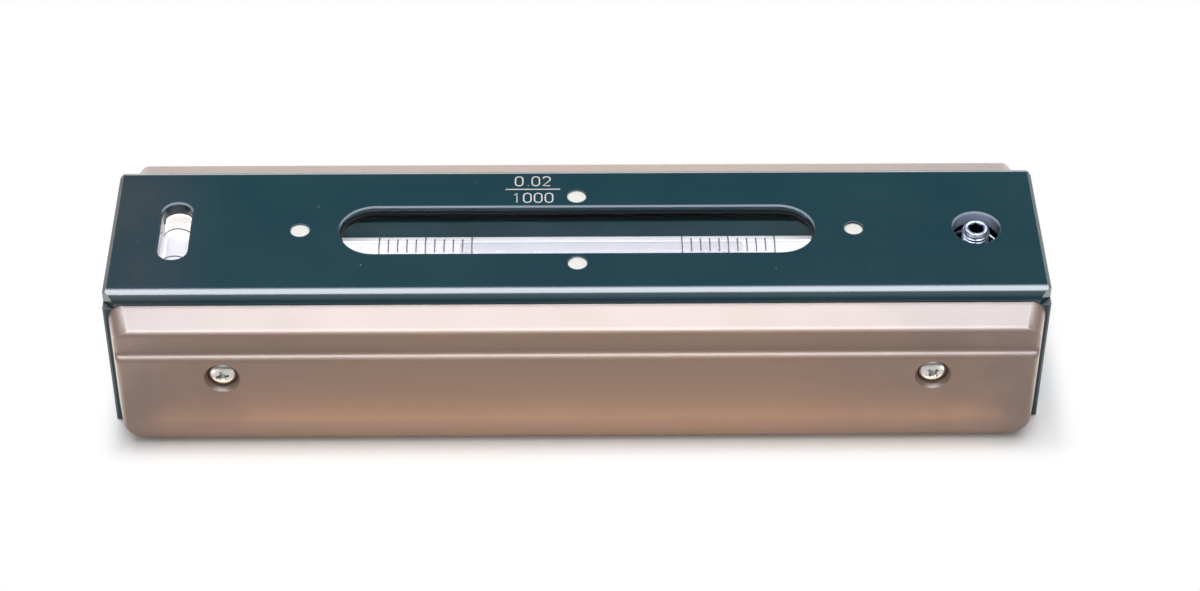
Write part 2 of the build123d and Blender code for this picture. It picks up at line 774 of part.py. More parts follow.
# Cross vial: holder block with a screw flange at each end, plaster, tube and plugs
cross_axis_plane = Plane(origin=(cross_x, 0, cross_axis_z), x_dir=(-1, 0, 0), z_dir=(0, 1, 0))
cross_holder_width = cross_pocket_width - cross_holder_gap * 2
cross_holder_half_length = cross_pocket_half_length - cross_holder_gap
with BuildPart() as cross_vial_holder:
    with BuildSketch(Plane.XY.offset(cross_pocket_floor_z)):
        with Locations((cross_x, 0)):
            RectangleRounded(cross_holder_width, cross_holder_half_length * 2, pocket_corner_radius)
    extrude(amount=cross_flange_height)
    with BuildSketch(Plane.XY.offset(cross_pocket_floor_z)):
        with Locations((cross_x, 0)):
            Rectangle(cross_holder_width, cross_block_half_length * 2)
    extrude(amount=cross_axis_z - cross_pocket_floor_z)
    chamfer(faces().sort_by(Axis.Z)[-1].edges(), cross_holder_chamfer)
    with BuildSketch(cross_axis_plane):
        Circle(cross_bed_radius)
    extrude(amount=cross_block_half_length, both=True, mode=Mode.SUBTRACT)
    with Locations((cross_x, -cross_screw_y, cross_pocket_floor_z + cross_flange_height),
                   (cross_x, cross_screw_y, cross_pocket_floor_z + cross_flange_height)):
        Hole(cross_screw_diameter / 2 + head_gap, depth=cross_flange_height)
finish(cross_vial_holder, "cross_vial_holder")

with BuildPart() as cross_vial_holder_screws:
    with Locations((cross_x, -cross_screw_y, cross_pocket_floor_z + cross_flange_height),
                   (cross_x, cross_screw_y, cross_pocket_floor_z + cross_flange_height)):
        add(headed_screw(cross_screw_head_diameter, cross_screw_head_height, cross_holder_chamfer,
                         cross_screw_diameter, cross_screw_length))
finish(cross_vial_holder_screws, "cross_vial_holder_screws")

with BuildPart() as cross_vial_bedding:
    with BuildSketch(cross_axis_plane.offset(-cross_vial_half_length)):
        Circle(cross_bed_radius)
        Circle(cross_vial_radius, mode=Mode.SUBTRACT)
        Rectangle(cross_bed_radius * 2, cross_bed_radius, align=(Align.CENTER, Align.MIN),
                  mode=Mode.SUBTRACT)
    extrude(amount=cross_vial_half_length * 2)
finish(cross_vial_bedding, "cross_vial_bedding")

with BuildPart() as cross_vial_tube:
    with BuildSketch(cross_axis_plane.offset(-cross_vial_half_length)):
        Circle(cross_vial_radius)
        Circle(cross_bore_radius, mode=Mode.SUBTRACT)
    extrude(amount=cross_vial_half_length * 2)
finish(cross_vial_tube, "cross_vial_tube")

with BuildPart() as cross_vial_end_plugs:
    add(end_plugs(cross_axis_plane, cross_vial_radius, cross_bore_radius, cross_vial_half_length,
                  cross_plug_spigot_length, cross_plug_flange_thickness))
finish(cross_vial_end_plugs, "cross_vial_end_plugs")

cross_liquid_half_length = cross_vial_half_length - cross_plug_spigot_length
cross_headroom_height = cross_bore_radius - cross_bubble_height
with BuildPart() as cross_vial_liquid:
    with BuildSketch(cross_axis_plane.offset(-cross_liquid_half_length)):
        Circle(cross_bore_radius)
        with Locations((0, cross_headroom_height)):
            Rectangle(cross_bore_radius * 2, cross_bubble_height, align=(Align.CENTER, Align.MIN),
                      mode=Mode.SUBTRACT)
    extrude(amount=cross_liquid_half_length * 2)
finish(cross_vial_liquid, "cross_vial_liquid")

with BuildPart() as cross_vial_bubble:
    with BuildSketch(cross_axis_plane.offset(-cross_bubble_length / 2)):
        Circle(cross_bore_radius - bubble_gap)
        with Locations((0, cross_headroom_height + bubble_gap)):
            Rectangle(cross_bore_radius * 2, cross_bubble_height, align=(Align.CENTER, Align.MIN),
                      mode=Mode.INTERSECT)
    extrude(amount=cross_bubble_length)
    with BuildSketch(Plane.XY.offset(cross_axis_z)):
        with Locations((cross_x, 0)):
            RectangleRounded(cross_bore_radius * 2, cross_bubble_length, cross_bubble_end_radius)
    extrude(amount=cross_vial_radius, mode=Mode.INTERSECT)
finish(cross_vial_bubble, "cross_vial_bubble")

with BuildPart() as cross_vial_graduations:
    for line_y in (-cross_line_y, cross_line_y):
        add(ring_line(cross_axis_plane, line_y, cross_vial_radius, cross_line_angle))
finish(cross_vial_graduations, "cross_vial_graduations")

# Side plates: a sloping shelf, a set-back band, a rounded ledge, a tall face and a band
# that turns in at the bottom. The ends taper to the front, and the top corners are rounded
# along the slope of the shelf.
# The back is hollow, with a boss at each screw, and the screws stand in tapered recesses.
upper_band_y = plate_upper_setback - plate_outer_y
with BuildPart() as front_side_plate:
    with BuildSketch(Plane.YZ.offset(-plate_length / 2)):
        with BuildLine():
            FilletPolyline(
                (-body_width / 2, plate_bottom_z),
                (-body_width / 2, plate_top_z),
                (upper_band_y, plate_top_z - plate_shelf_drop),
                (upper_band_y, plate_ledge_z),
                (-plate_outer_y, plate_ledge_z - plate_ledge_drop),
                (-plate_outer_y, plate_break_z),
                (plate_bottom_setback - plate_outer_y, plate_bottom_z),
                radius=[
                    0,
                    0,
                    plate_shelf_radius,
                    0,
                    plate_ledge_radius,
                    plate_break_radius,
                    plate_bottom_radius,
                ],
                close=True,
            )
        make_face()
    extrude(amount=plate_length)
    with BuildSketch(Plane.XZ.offset(body_width / 2)):
        with Locations((0, plate_bottom_z)):
            Rectangle(plate_length, plate_top_z - plate_bottom_z, align=(Align.CENTER, Align.MIN))
        fillet(vertices().group_by(Axis.Y)[0], plate_bottom_corner_radius)
    extrude(amount=plate_depth, mode=Mode.INTERSECT)
    with BuildSketch(Plane.XZ.offset(body_width / 2)):
        with Locations((0, plate_top_z)):
            Rectangle(plate_length, plate_top_z * 2, align=(Align.CENTER, Align.MAX))
        fillet(vertices().group_by(Axis.Y)[-1], plate_top_corner_radius)
    extrude(amount=plate_depth * 2, dir=(0, -1, -plate_shelf_slope), mode=Mode.INTERSECT)
    with BuildSketch(Plane.XY):
        with BuildLine():
            Polyline(
                (-plate_length / 2, -body_width / 2),
                (plate_end_taper - plate_length / 2, -plate_outer_y),
                (plate_length / 2 - plate_end_taper, -plate_outer_y),
                (plate_length / 2, -body_width / 2),
                close=True,
            )
        make_face()
        fillet(vertices().group_by(Axis.Y)[0], plate_end_radius)
    extrude(amount=plate_top_z, mode=Mode.INTERSECT)
    with BuildSketch(Plane.XZ.offset(body_width / 2)):
        with Locations((0, plate_bottom_z + plate_hollow_margin)):
            Rectangle(
                plate_length - plate_hollow_margin * 2,
                plate_top_z - plate_bottom_z - plate_shelf_drop - plate_hollow_margin * 2,
                align=(Align.CENTER, Align.MIN),
            )
        with Locations((-plate_screw_x, plate_screw_z), (plate_screw_x, plate_screw_z)):
            Circle(plate_boss_diameter / 2, mode=Mode.SUBTRACT)
    extrude(amount=plate_hollow_depth, mode=Mode.SUBTRACT)
    with Locations(*[
        outward(x, -1, plate_screw_seat_y, plate_screw_z) for x in (-plate_screw_x, plate_screw_x)
    ]):
        Cone(
            bottom_radius=plate_screw_head_diameter / 2 + plate_screw_head_gap,
            top_radius=plate_screw_recess_diameter / 2,
            height=plate_screw_recess_depth,
            align=(Align.CENTER, Align.CENTER, Align.MIN),
            mode=Mode.SUBTRACT,
        )
        Hole(plate_screw_diameter / 2 + plate_screw_gap, depth=plate_depth)
finish(front_side_plate, "front_side_plate")

with BuildPart() as rear_side_plate:
    add(mirror(front_side_plate.part, about=Plane.XZ, mode=Mode.PRIVATE))
finish(rear_side_plate, "rear_side_plate")

# Round-headed screws of the side plates, sunk in their recesses
plate_screw = headed_screw(
    plate_screw_head_diameter,
    plate_screw_head_height,
    plate_screw_head_radius,
    plate_screw_diameter,
    plate_screw_length,
)
for side, side_name in ((-1, "front"), (1, "rear")):
    with BuildPart() as side_plate_screws:
        with Locations(*[
            outward(x, side, plate_screw_seat_y, plate_screw_z) for x in (-plate_screw_x, plate_screw_x)
        ]):
            add(plate_screw)
    finish(side_plate_screws, f"{side_name}_side_plate_screws")
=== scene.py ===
# %% [markdown]
# # A precision spirit level, dressed for its picture
# The level was built in CAD as 32 separate pieces, and this lesson gives them their looks.
# We load the CAD pieces as a fixed frame, set up a camera and a small studio, mix the
# finishes as node materials, and model the few details that are finer than the CAD: the
# thread of the adjusting screw, the crosses in the plate screws, the soft corners of the
# side plates, the white fillings and the figures.

# %% Load the level
import bpy
import bmesh
import json
import math
import random
from mathutils import Matrix, Vector, noise


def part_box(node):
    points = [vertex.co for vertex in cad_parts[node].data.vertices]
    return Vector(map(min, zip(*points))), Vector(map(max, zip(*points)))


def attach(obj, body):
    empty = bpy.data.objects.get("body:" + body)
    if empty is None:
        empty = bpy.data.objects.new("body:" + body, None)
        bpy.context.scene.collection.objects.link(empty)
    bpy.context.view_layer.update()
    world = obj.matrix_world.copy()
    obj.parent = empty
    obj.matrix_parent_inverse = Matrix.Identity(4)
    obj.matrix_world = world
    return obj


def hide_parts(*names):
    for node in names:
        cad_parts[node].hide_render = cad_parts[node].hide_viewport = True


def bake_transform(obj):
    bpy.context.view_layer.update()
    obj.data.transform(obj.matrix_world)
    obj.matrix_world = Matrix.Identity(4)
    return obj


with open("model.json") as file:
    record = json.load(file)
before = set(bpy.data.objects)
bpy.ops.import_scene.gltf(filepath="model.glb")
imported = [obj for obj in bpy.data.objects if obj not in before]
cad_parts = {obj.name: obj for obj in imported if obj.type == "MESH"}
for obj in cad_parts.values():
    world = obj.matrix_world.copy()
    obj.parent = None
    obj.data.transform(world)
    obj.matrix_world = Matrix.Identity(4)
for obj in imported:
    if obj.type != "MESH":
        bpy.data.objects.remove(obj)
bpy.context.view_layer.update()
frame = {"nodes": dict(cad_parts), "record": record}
nodes = frame["nodes"]
print("pieces in the frame:", len(nodes))

# %% [markdown]
# ## Units and small helpers
# The frame is in metres, but a level is measured in millimetres, so one factor turns
# one into the other. Colours are picked as the 0 to 255 values that an eye would read
# off a picture, and Blender wants linear light, so a helper converts them. Another one
# puts new objects into the scene.

# %% Units, colours and objects
MM = 0.001


def paint(red, green, blue):
    """A colour read off a picture, as linear light."""
    linear = []
    for value in (red / 255, green / 255, blue / 255):
        linear.append(value / 12.92 if value <= 0.04045 else ((value + 0.055) / 1.055) ** 2.4)
    return (*linear, 1.0)


def add_object(name, data):
    """A new object in the scene."""
    made = bpy.data.objects.new(name, data)
    bpy.context.scene.collection.objects.link(made)
    return made


COVER_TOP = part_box("top_cover")[1].z
print("top of the cover:", round(COVER_TOP / MM, 2), "mm")

# %% [markdown]
# ## The camera
# The picture looks down on the level from the front with a long lens. The angles and
# the distance come from a fit of the level's known corners, so the camera is written
# as a direction, a distance and a small shift of the whole camera, not of its lens.

# %% The camera
LOOK_DOWN = math.radians(41.73)
TURN = math.radians(-1.09)
ROLL = math.radians(0.46)
DISTANCE = 663.67 * MM
SIDEWAYS, UPWARDS = 5.02 * MM, -2.33 * MM
SENSOR_WIDTH, FOCAL_LENGTH, CLIP_START = 36, 91.13, 0.01
CLEAR_LAYERS = 24
AIM = Vector((0, 0, 20 * MM))

back = Vector((
    math.sin(TURN) * math.cos(LOOK_DOWN),
    -math.cos(TURN) * math.cos(LOOK_DOWN),
    math.sin(LOOK_DOWN),
))
level_right = (-back).cross(Vector((0, 0, 1))).normalized()
level_up = level_right.cross(-back)
camera_right = level_right * math.cos(ROLL) + level_up * math.sin(ROLL)
camera_up = level_up * math.cos(ROLL) - level_right * math.sin(ROLL)
place = AIM + back * DISTANCE + camera_right * SIDEWAYS + camera_up * UPWARDS

camera_data = bpy.data.cameras.new("camera")
camera_data.sensor_fit = "HORIZONTAL"
camera_data.sensor_width = SENSOR_WIDTH
camera_data.lens = FOCAL_LENGTH
camera_data.clip_start = CLIP_START
camera = add_object("camera", camera_data)
axes = Matrix((camera_right, camera_up, back)).transposed().to_4x4()
camera.matrix_world = Matrix.Translation(place) @ axes
bpy.context.scene.camera = camera
bpy.context.scene.view_settings.view_transform = "Standard"
bpy.context.scene.cycles.transparent_max_bounces = CLEAR_LAYERS
print("camera stands", round(place.length, 3), "m from the level")

# %% [markdown]
# ## Building node trees
# Every finish below is a node tree. One helper adds a node and fills in its sockets:
# a value is typed in, and the output of another node is linked. The other helpers wrap
# the nodes that come back most often, so each material can be read from top to bottom.

# %% Helpers for nodes
VECTOR_TO_NUMBER = ("LENGTH", "DISTANCE", "DOT_PRODUCT")


def new_material(name):
    """A material and its empty node tree."""
    material = bpy.data.materials.new(name)
    material.use_nodes = True
    material.node_tree.nodes.clear()
    return material, material.node_tree


def add_node(tree, kind, inputs=None, **settings):
    """Add a node; inputs maps a socket's name or number to a value or to another socket."""
    made = tree.nodes.new(kind)
    for name, value in settings.items():
        setattr(made, name, value)
    for name, value in (inputs or {}).items():
        if isinstance(value, bpy.types.NodeSocket):
            tree.links.new(value, made.inputs[name])
        else:
            made.inputs[name].default_value = value
    return made


def math_node(tree, operation, first, second=0.0, third=0.0):
    """A sum on up to three numbers."""
    inputs = {0: first, 1: second, 2: third}
    return add_node(tree, "ShaderNodeMath", inputs, operation=operation).outputs[0]


def vector_node(tree, operation, first, second=(0, 0, 0)):
    """A sum on one or two vectors; a length, a distance or a dot product is a number."""
    made = add_node(tree, "ShaderNodeVectorMath", {0: first, 1: second}, operation=operation)
    return made.outputs["Value" if operation in VECTOR_TO_NUMBER else "Vector"]


def axis_of(tree, vector, axis):
    """The X, Y or Z of a vector."""
    return add_node(tree, "ShaderNodeSeparateXYZ", {0: vector}).outputs[axis]


def remap(tree, value, low, high, to_low=0.0, to_high=1.0):
    """Stretch a value from one range to another, with a soft start and end."""
    return add_node(
        tree, "ShaderNodeMapRange",
        {"Value": value, "From Min": low, "From Max": high, "To Min": to_low, "To Max": to_high},
        interpolation_type="SMOOTHSTEP",
    ).outputs["Result"]


def by_stops(tree, value, amount):
    """A plain number stays as it is; stops of (value, amount) become a ramp along a value."""
    if isinstance(amount, (int, float)):
        return amount
    made = add_node(tree, "ShaderNodeValToRGB", {"Fac": value})
    elements = made.color_ramp.elements
    while len(elements) < len(amount):
        elements.new(1.0)
    for element, (stop, level) in zip(elements, amount):
        element.position = stop
        element.color = (level, level, level, 1)
    return made.outputs["Color"]


def mix_colours(tree, share, first, second):
    """Blend two colours by a share from 0 to 1."""
    mixer = add_node(tree, "ShaderNodeMix", {0: share, 6: first, 7: second}, data_type="RGBA")
    return mixer.outputs[2]


# %% [markdown]
# ## The studio
# A small product studio has a white table, a pale wall behind it and one large soft
# light overhead. Near the level the table is lit and takes its shadow, and further off it
# glows plain white, as an overexposed backdrop does. In reflections the table is a little
# warmer, brighter beside the ends of the level and dimmer far away. The world stands for
# the room. The camera sees it white, but in reflections it is dim, with a bright wall low
# down at the back and a glow round the lamp, because a satin paint looks flat when
# everything around it is equally bright.

# %% The white table
TABLE_SIZE = 12.0
TABLE_PAINT, TABLE_IN_REFLECTIONS = paint(243, 243, 243), paint(255, 250, 246)
FOOT_X, FOOT_Y = 0.0999, 0.0287
SHADOW_SIDE = 0.0025
SHADOW_REACH, MIRRORED_REACH = 0.0065, 0.002
PAST_THE_ENDS, SIDE_BOOST, FULL_BOOST_WITHIN = (0.103, 0.112), 1.2, 0.06
FAR_OFF, FAR_DIMMING = (0.16, 0.5), -0.7

table_mesh = bpy.data.meshes.new("table")
half = TABLE_SIZE / 2
table_mesh.from_pydata(
    [(-half, -half, 0), (half, -half, 0), (half, half, 0), (-half, half, 0)], [], [(0, 1, 2, 3)]
)
table = add_object("table", table_mesh)

table_white, tree = new_material("table_white")
place_on_table = add_node(tree, "ShaderNodeTexCoord").outputs["Object"]
centred = vector_node(tree, "SUBTRACT", place_on_table, (SHADOW_SIDE, 0, 0))
folded = vector_node(tree, "ABSOLUTE", centred)
past_foot = vector_node(tree, "SUBTRACT", folded, (FOOT_X, FOOT_Y, 0))
distance = vector_node(tree, "LENGTH", vector_node(tree, "MAXIMUM", past_foot))
ray = add_node(tree, "ShaderNodeLightPath").outputs
mirrored = ray["Is Glossy Ray"]
seen = math_node(tree, "MAXIMUM", ray["Is Camera Ray"], ray["Is Transmission Ray"])
seen_or_mirrored = math_node(tree, "MAXIMUM", seen, mirrored)
reach = math_node(tree, "MULTIPLY_ADD", mirrored, MIRRORED_REACH - SHADOW_REACH, SHADOW_REACH)
far_and_seen = math_node(tree, "MULTIPLY", seen_or_mirrored, remap(tree, distance, 0.0, reach))
surface = add_node(tree, "ShaderNodeBsdfPrincipled", {
    "Base Color": TABLE_PAINT, "Roughness": 0.7, "Specular IOR Level": 0.2,
})
far_colour = mix_colours(tree, mirrored, (1, 1, 1, 1), TABLE_IN_REFLECTIONS)
past_ends = remap(tree, axis_of(tree, folded, "X"), *PAST_THE_ENDS, 0.0, SIDE_BOOST)
close_by = remap(tree, distance, FAR_OFF[0], FULL_BOOST_WITHIN)
beside = math_node(tree, "MULTIPLY", past_ends, close_by)
far_off = remap(tree, distance, *FAR_OFF, 0.0, FAR_DIMMING)
extra = math_node(tree, "ADD", beside, far_off)
strength = math_node(tree, "MULTIPLY_ADD", mirrored, extra, 1.0)
white = add_node(tree, "ShaderNodeEmission", {"Color": far_colour, "Strength": strength})
blend = add_node(tree, "ShaderNodeMixShader", {
    0: far_and_seen, 1: surface.outputs[0], 2: white.outputs[0],
})
add_node(tree, "ShaderNodeOutputMaterial", {"Surface": blend.outputs[0]})
table_mesh.materials.append(table_white)
print("table ready")

# %% The room
WALL_GLOW, FRONT_GLOW, AROUND_LAMP_GLOW, ROOM_GLOW = 4.5, 0.1, 0.9, 0.17
WALL_BEHIND, WALL_TOP, WALL_SIDES = (0.0, 0.5), (0.36, 0.14), (0.6, 0.35)
FRONT_SIDE, AROUND_LAMP = (0.05, -0.4), (0.62, 0.97)
LAMP_SIDE = Vector((0, -0.42, 0.91))

world = bpy.data.worlds.new("room")
bpy.context.scene.world = world
world.use_nodes = True
tree = world.node_tree
tree.nodes.clear()
direction = add_node(tree, "ShaderNodeTexCoord").outputs["Generated"]
split = add_node(tree, "ShaderNodeSeparateXYZ", {0: direction}).outputs
behind = remap(tree, split["Y"], *WALL_BEHIND)
low_down = remap(tree, split["Z"], *WALL_TOP)
straight = remap(tree, math_node(tree, "ABSOLUTE", split["X"]), *WALL_SIDES)
on_wall = math_node(tree, "MULTIPLY", math_node(tree, "MULTIPLY", behind, low_down), straight)
wall = math_node(tree, "MULTIPLY_ADD", on_wall, WALL_GLOW, ROOM_GLOW)
front = remap(tree, split["Y"], *FRONT_SIDE, 0.0, FRONT_GLOW)
towards_lamp = vector_node(tree, "DOT_PRODUCT", direction, LAMP_SIDE)
spill = remap(tree, towards_lamp, *AROUND_LAMP, 0.0, AROUND_LAMP_GLOW)
glow = math_node(tree, "ADD", math_node(tree, "ADD", wall, spill), front)
ray = add_node(tree, "ShaderNodeLightPath").outputs
seen = math_node(tree, "MAXIMUM", ray["Is Camera Ray"], ray["Is Transmission Ray"])
strength = math_node(tree, "MAXIMUM", glow, seen)
room_light = add_node(tree, "ShaderNodeBackground", {"Color": (1, 1, 1, 1), "Strength": strength})
add_node(tree, "ShaderNodeOutputWorld", {"Surface": room_light.outputs[0]})
print("room ready")

# %% [markdown]
# ## The lamps
# The picture shows one broad white band along the rounded edge of the cover and on the
# sloping shelf of the side plate. Both face almost straight up, so the lamp hangs overhead
# and a little behind the level. A second lamp of the same size is seen by reflections
# only: a softbox is far brighter than the white it lights, and this gives the satin edges
# their band without washing out the colours. A low card in front warms the lower face.

# %% The lamps
LAMP_SIZE, CARD_SIZE = (0.95, 0.80), (0.185, 0.005)
LAMP_PLACE, SHINE_PLACE, CARD_PLACE = (0, 0.14, 0.70), (0, 0.144, 0.72), (0, -0.0355, 0.0012)
LAMP_WATTS, SHINE_WATTS, CARD_WATTS = 3.8, 40.0, 0.0053
COOL_WHITE, COPPER = (0.9, 0.925, 1.0), (1.0, 0.56, 0.27)
CARD_TILT = math.radians(125)


def soft_lamp(name, place, size, watts, colour=(1, 1, 1)):
    """A rectangular soft lamp that looks at the level."""
    data = bpy.data.lights.new(name, "AREA")
    data.shape = "RECTANGLE"
    data.size, data.size_y = size
    data.energy = watts
    data.color = colour
    lamp = add_object(name, data)
    lamp.location = place
    lamp.rotation_euler = (AIM - Vector(place)).to_track_quat("-Z", "Y").to_euler()
    lamp.visible_camera = False
    return lamp


softbox = soft_lamp("softbox", LAMP_PLACE, LAMP_SIZE, LAMP_WATTS)
softbox.visible_glossy = False
softbox_shine = soft_lamp("softbox_shine", SHINE_PLACE, LAMP_SIZE, SHINE_WATTS, COOL_WHITE)
softbox_shine.visible_diffuse = False
softbox_shine.visible_transmission = False
warm_card = soft_lamp("warm_card", CARD_PLACE, CARD_SIZE, CARD_WATTS, COPPER)
warm_card.rotation_euler = (CARD_TILT, 0, 0)

# %% [markdown]
# ## Surface effects as node groups
# Real finishes are never one flat value. Four small groups make the variation that the
# materials share, and each material places them with its own values:
# - grain: fine bumps and a matching change of tone, as in sprayed paint,
# - soft edges: rounds the look of sharp edges and tells where paint would wear,
# - specks: sparse small dots of dust,
# - turning marks: the fine rings that a lathe leaves on a screw.

# %% Group: grain
def new_group(name, inputs, outputs):
    """An empty node group with named sockets."""
    group = bpy.data.node_groups.new(name, "ShaderNodeTree")
    for socket, kind, value in inputs:
        made = group.interface.new_socket(name=socket, in_out="INPUT", socket_type=kind)
        if value is not None:
            made.default_value = value
    for socket, kind in outputs:
        group.interface.new_socket(name=socket, in_out="OUTPUT", socket_type=kind)
    return group, group.nodes.new("NodeGroupInput").outputs


def place_group(tree, group, inputs):
    """A node group inside a material."""
    return add_node(tree, "ShaderNodeGroup", inputs, node_tree=group).outputs


FLOAT, VECTOR = "NodeSocketFloat", "NodeSocketVector"
grain_group, given = new_group(
    "grain",
    [("Position", VECTOR, None), ("Grain Size", FLOAT, 0.0004), ("Patch Size", FLOAT, 0.01)],
    [("Fine", FLOAT), ("Patches", FLOAT), ("Height", FLOAT)],
)
fine_scale = math_node(grain_group, "DIVIDE", 1.0, given["Grain Size"])
patch_scale = math_node(grain_group, "DIVIDE", 1.0, given["Patch Size"])
fine = add_node(grain_group, "ShaderNodeTexNoise", {
    "Vector": given["Position"], "Scale": fine_scale, "Detail": 2.0, "Roughness": 0.6,
}).outputs["Fac"]
patches = add_node(grain_group, "ShaderNodeTexNoise", {
    "Vector": given["Position"], "Scale": patch_scale, "Detail": 4.0, "Roughness": 0.55,
}).outputs["Fac"]
together = math_node(grain_group, "MULTIPLY_ADD", patches, 0.6, fine)
add_node(grain_group, "NodeGroupOutput", {
    "Fine": remap(grain_group, fine, 0.3, 0.7),
    "Patches": remap(grain_group, patches, 0.35, 0.65),
    "Height": together,
})
print("group grain:", len(grain_group.nodes), "nodes")

# %% Group: soft edges
CHIPS_PER_METRE, WEAR_STARTS, WEAR_FADES = 900.0, 0.16, (-0.05, 0.12)
edge_group, given = new_group(
    "soft_edges",
    [("Radius", FLOAT, 0.0002), ("Position", VECTOR, None), ("Unevenness", FLOAT, 0.5)],
    [("Normal", VECTOR), ("Worn", FLOAT), ("Lean", FLOAT)],
)
rounded = add_node(edge_group, "ShaderNodeBevel", {"Radius": given["Radius"]}, samples=4).outputs["Normal"]
flat = add_node(edge_group, "ShaderNodeNewGeometry").outputs["True Normal"]
bend = math_node(edge_group, "SUBTRACT", 1.0, vector_node(edge_group, "DOT_PRODUCT", rounded, flat))
chips = add_node(edge_group, "ShaderNodeTexNoise", {
    "Vector": given["Position"], "Scale": CHIPS_PER_METRE, "Detail": 3.0, "Roughness": 0.7,
}).outputs["Fac"]
uneven = math_node(edge_group, "SUBTRACT", chips, 0.5)
limit = math_node(edge_group, "MULTIPLY_ADD", uneven, given["Unevenness"], WEAR_STARTS)
worn = remap(edge_group, math_node(edge_group, "SUBTRACT", bend, limit), *WEAR_FADES)
lean = math_node(edge_group, "SUBTRACT", 1.0, axis_of(edge_group, rounded, "Z"))
add_node(edge_group, "NodeGroupOutput", {"Normal": rounded, "Worn": worn, "Lean": lean})
print("group soft_edges:", len(edge_group.nodes), "nodes")

# %% Group: specks
speck_group, given = new_group(
    "specks",
    [("Position", VECTOR, None), ("Spacing", FLOAT, 0.002), ("Size", FLOAT, 0.06), ("Share", FLOAT, 0.1)],
    [("Specks", FLOAT)],
)
cells = add_node(speck_group, "ShaderNodeTexVoronoi", {
    "Vector": given["Position"], "Scale": math_node(speck_group, "DIVIDE", 1.0, given["Spacing"]),
}).outputs
near = math_node(speck_group, "LESS_THAN", cells["Distance"], given["Size"])
lot = add_node(speck_group, "ShaderNodeSeparateColor", {0: cells["Color"]}).outputs["Red"]
chosen = math_node(speck_group, "LESS_THAN", lot, given["Share"])
add_node(speck_group, "NodeGroupOutput", {"Specks": math_node(speck_group, "MULTIPLY", near, chosen)})
print("group specks:", len(speck_group.nodes), "nodes")

# %% Group: turning marks
turning_group, given = new_group(
    "turning_marks",
    [("Position", VECTOR, None), ("Centre", VECTOR, None), ("Along", VECTOR, (0.0, 0.0, 1.0)),
     ("Pitch", FLOAT, 0.0002)],
    [("Marks", FLOAT)],
)
away = vector_node(turning_group, "SUBTRACT", given["Position"], given["Centre"])
on_axis = vector_node(turning_group, "PROJECT", away, given["Along"])
across = vector_node(turning_group, "SUBTRACT", away, on_axis)
ring = vector_node(turning_group, "LENGTH", across)
depth = vector_node(turning_group, "LENGTH", on_axis)
spot = add_node(turning_group, "ShaderNodeCombineXYZ", {"X": ring, "Y": depth}).outputs[0]
marks = add_node(turning_group, "ShaderNodeTexNoise", {
    "Vector": spot, "Scale": math_node(turning_group, "DIVIDE", 1.0, given["Pitch"]), "Detail": 1.0,
}).outputs["Fac"]
add_node(turning_group, "NodeGroupOutput", {"Marks": remap(turning_group, marks, 0.3, 0.7)})
print("group turning_marks:", len(turning_group.nodes), "nodes")

# %% [markdown]
# ## Painted and plain finishes
# Most pieces share one recipe: a colour that drifts in patches and grain, a roughness
# that drifts with it, a small bump, softened edges and a little wear. One function mixes
# that recipe, and each finish below names its own colours and amounts. Four extras serve
# the large painted pieces: painted sheen and shade towards the ends, a painted reflection
# on the bare bore of a screw, painted highlights on the rims round the openings, and
# crisper edges near the screws. A glow, where a finish has one, is painted light too. The
# shader itself stays in the material, and its plain numbers are set on its own sockets.

# %% A recipe for solid finishes
ROUGHNESS_SWING, GRAIN_SHARE, SPECK_SHARE = 0.08, 0.5, 0.7
END_SHADING_LEAST, END_SHADING_PATCHES = 0.35, 0.3
BORE_WALL, BORE_REAR = (0.2, 0.6), (0.0, 0.004)
RIM_LEANS, RIM_STOPS, RIM_FACES_FRONT = (0.03, 0.1), (0.75, 0.5), (0.05, -0.3)


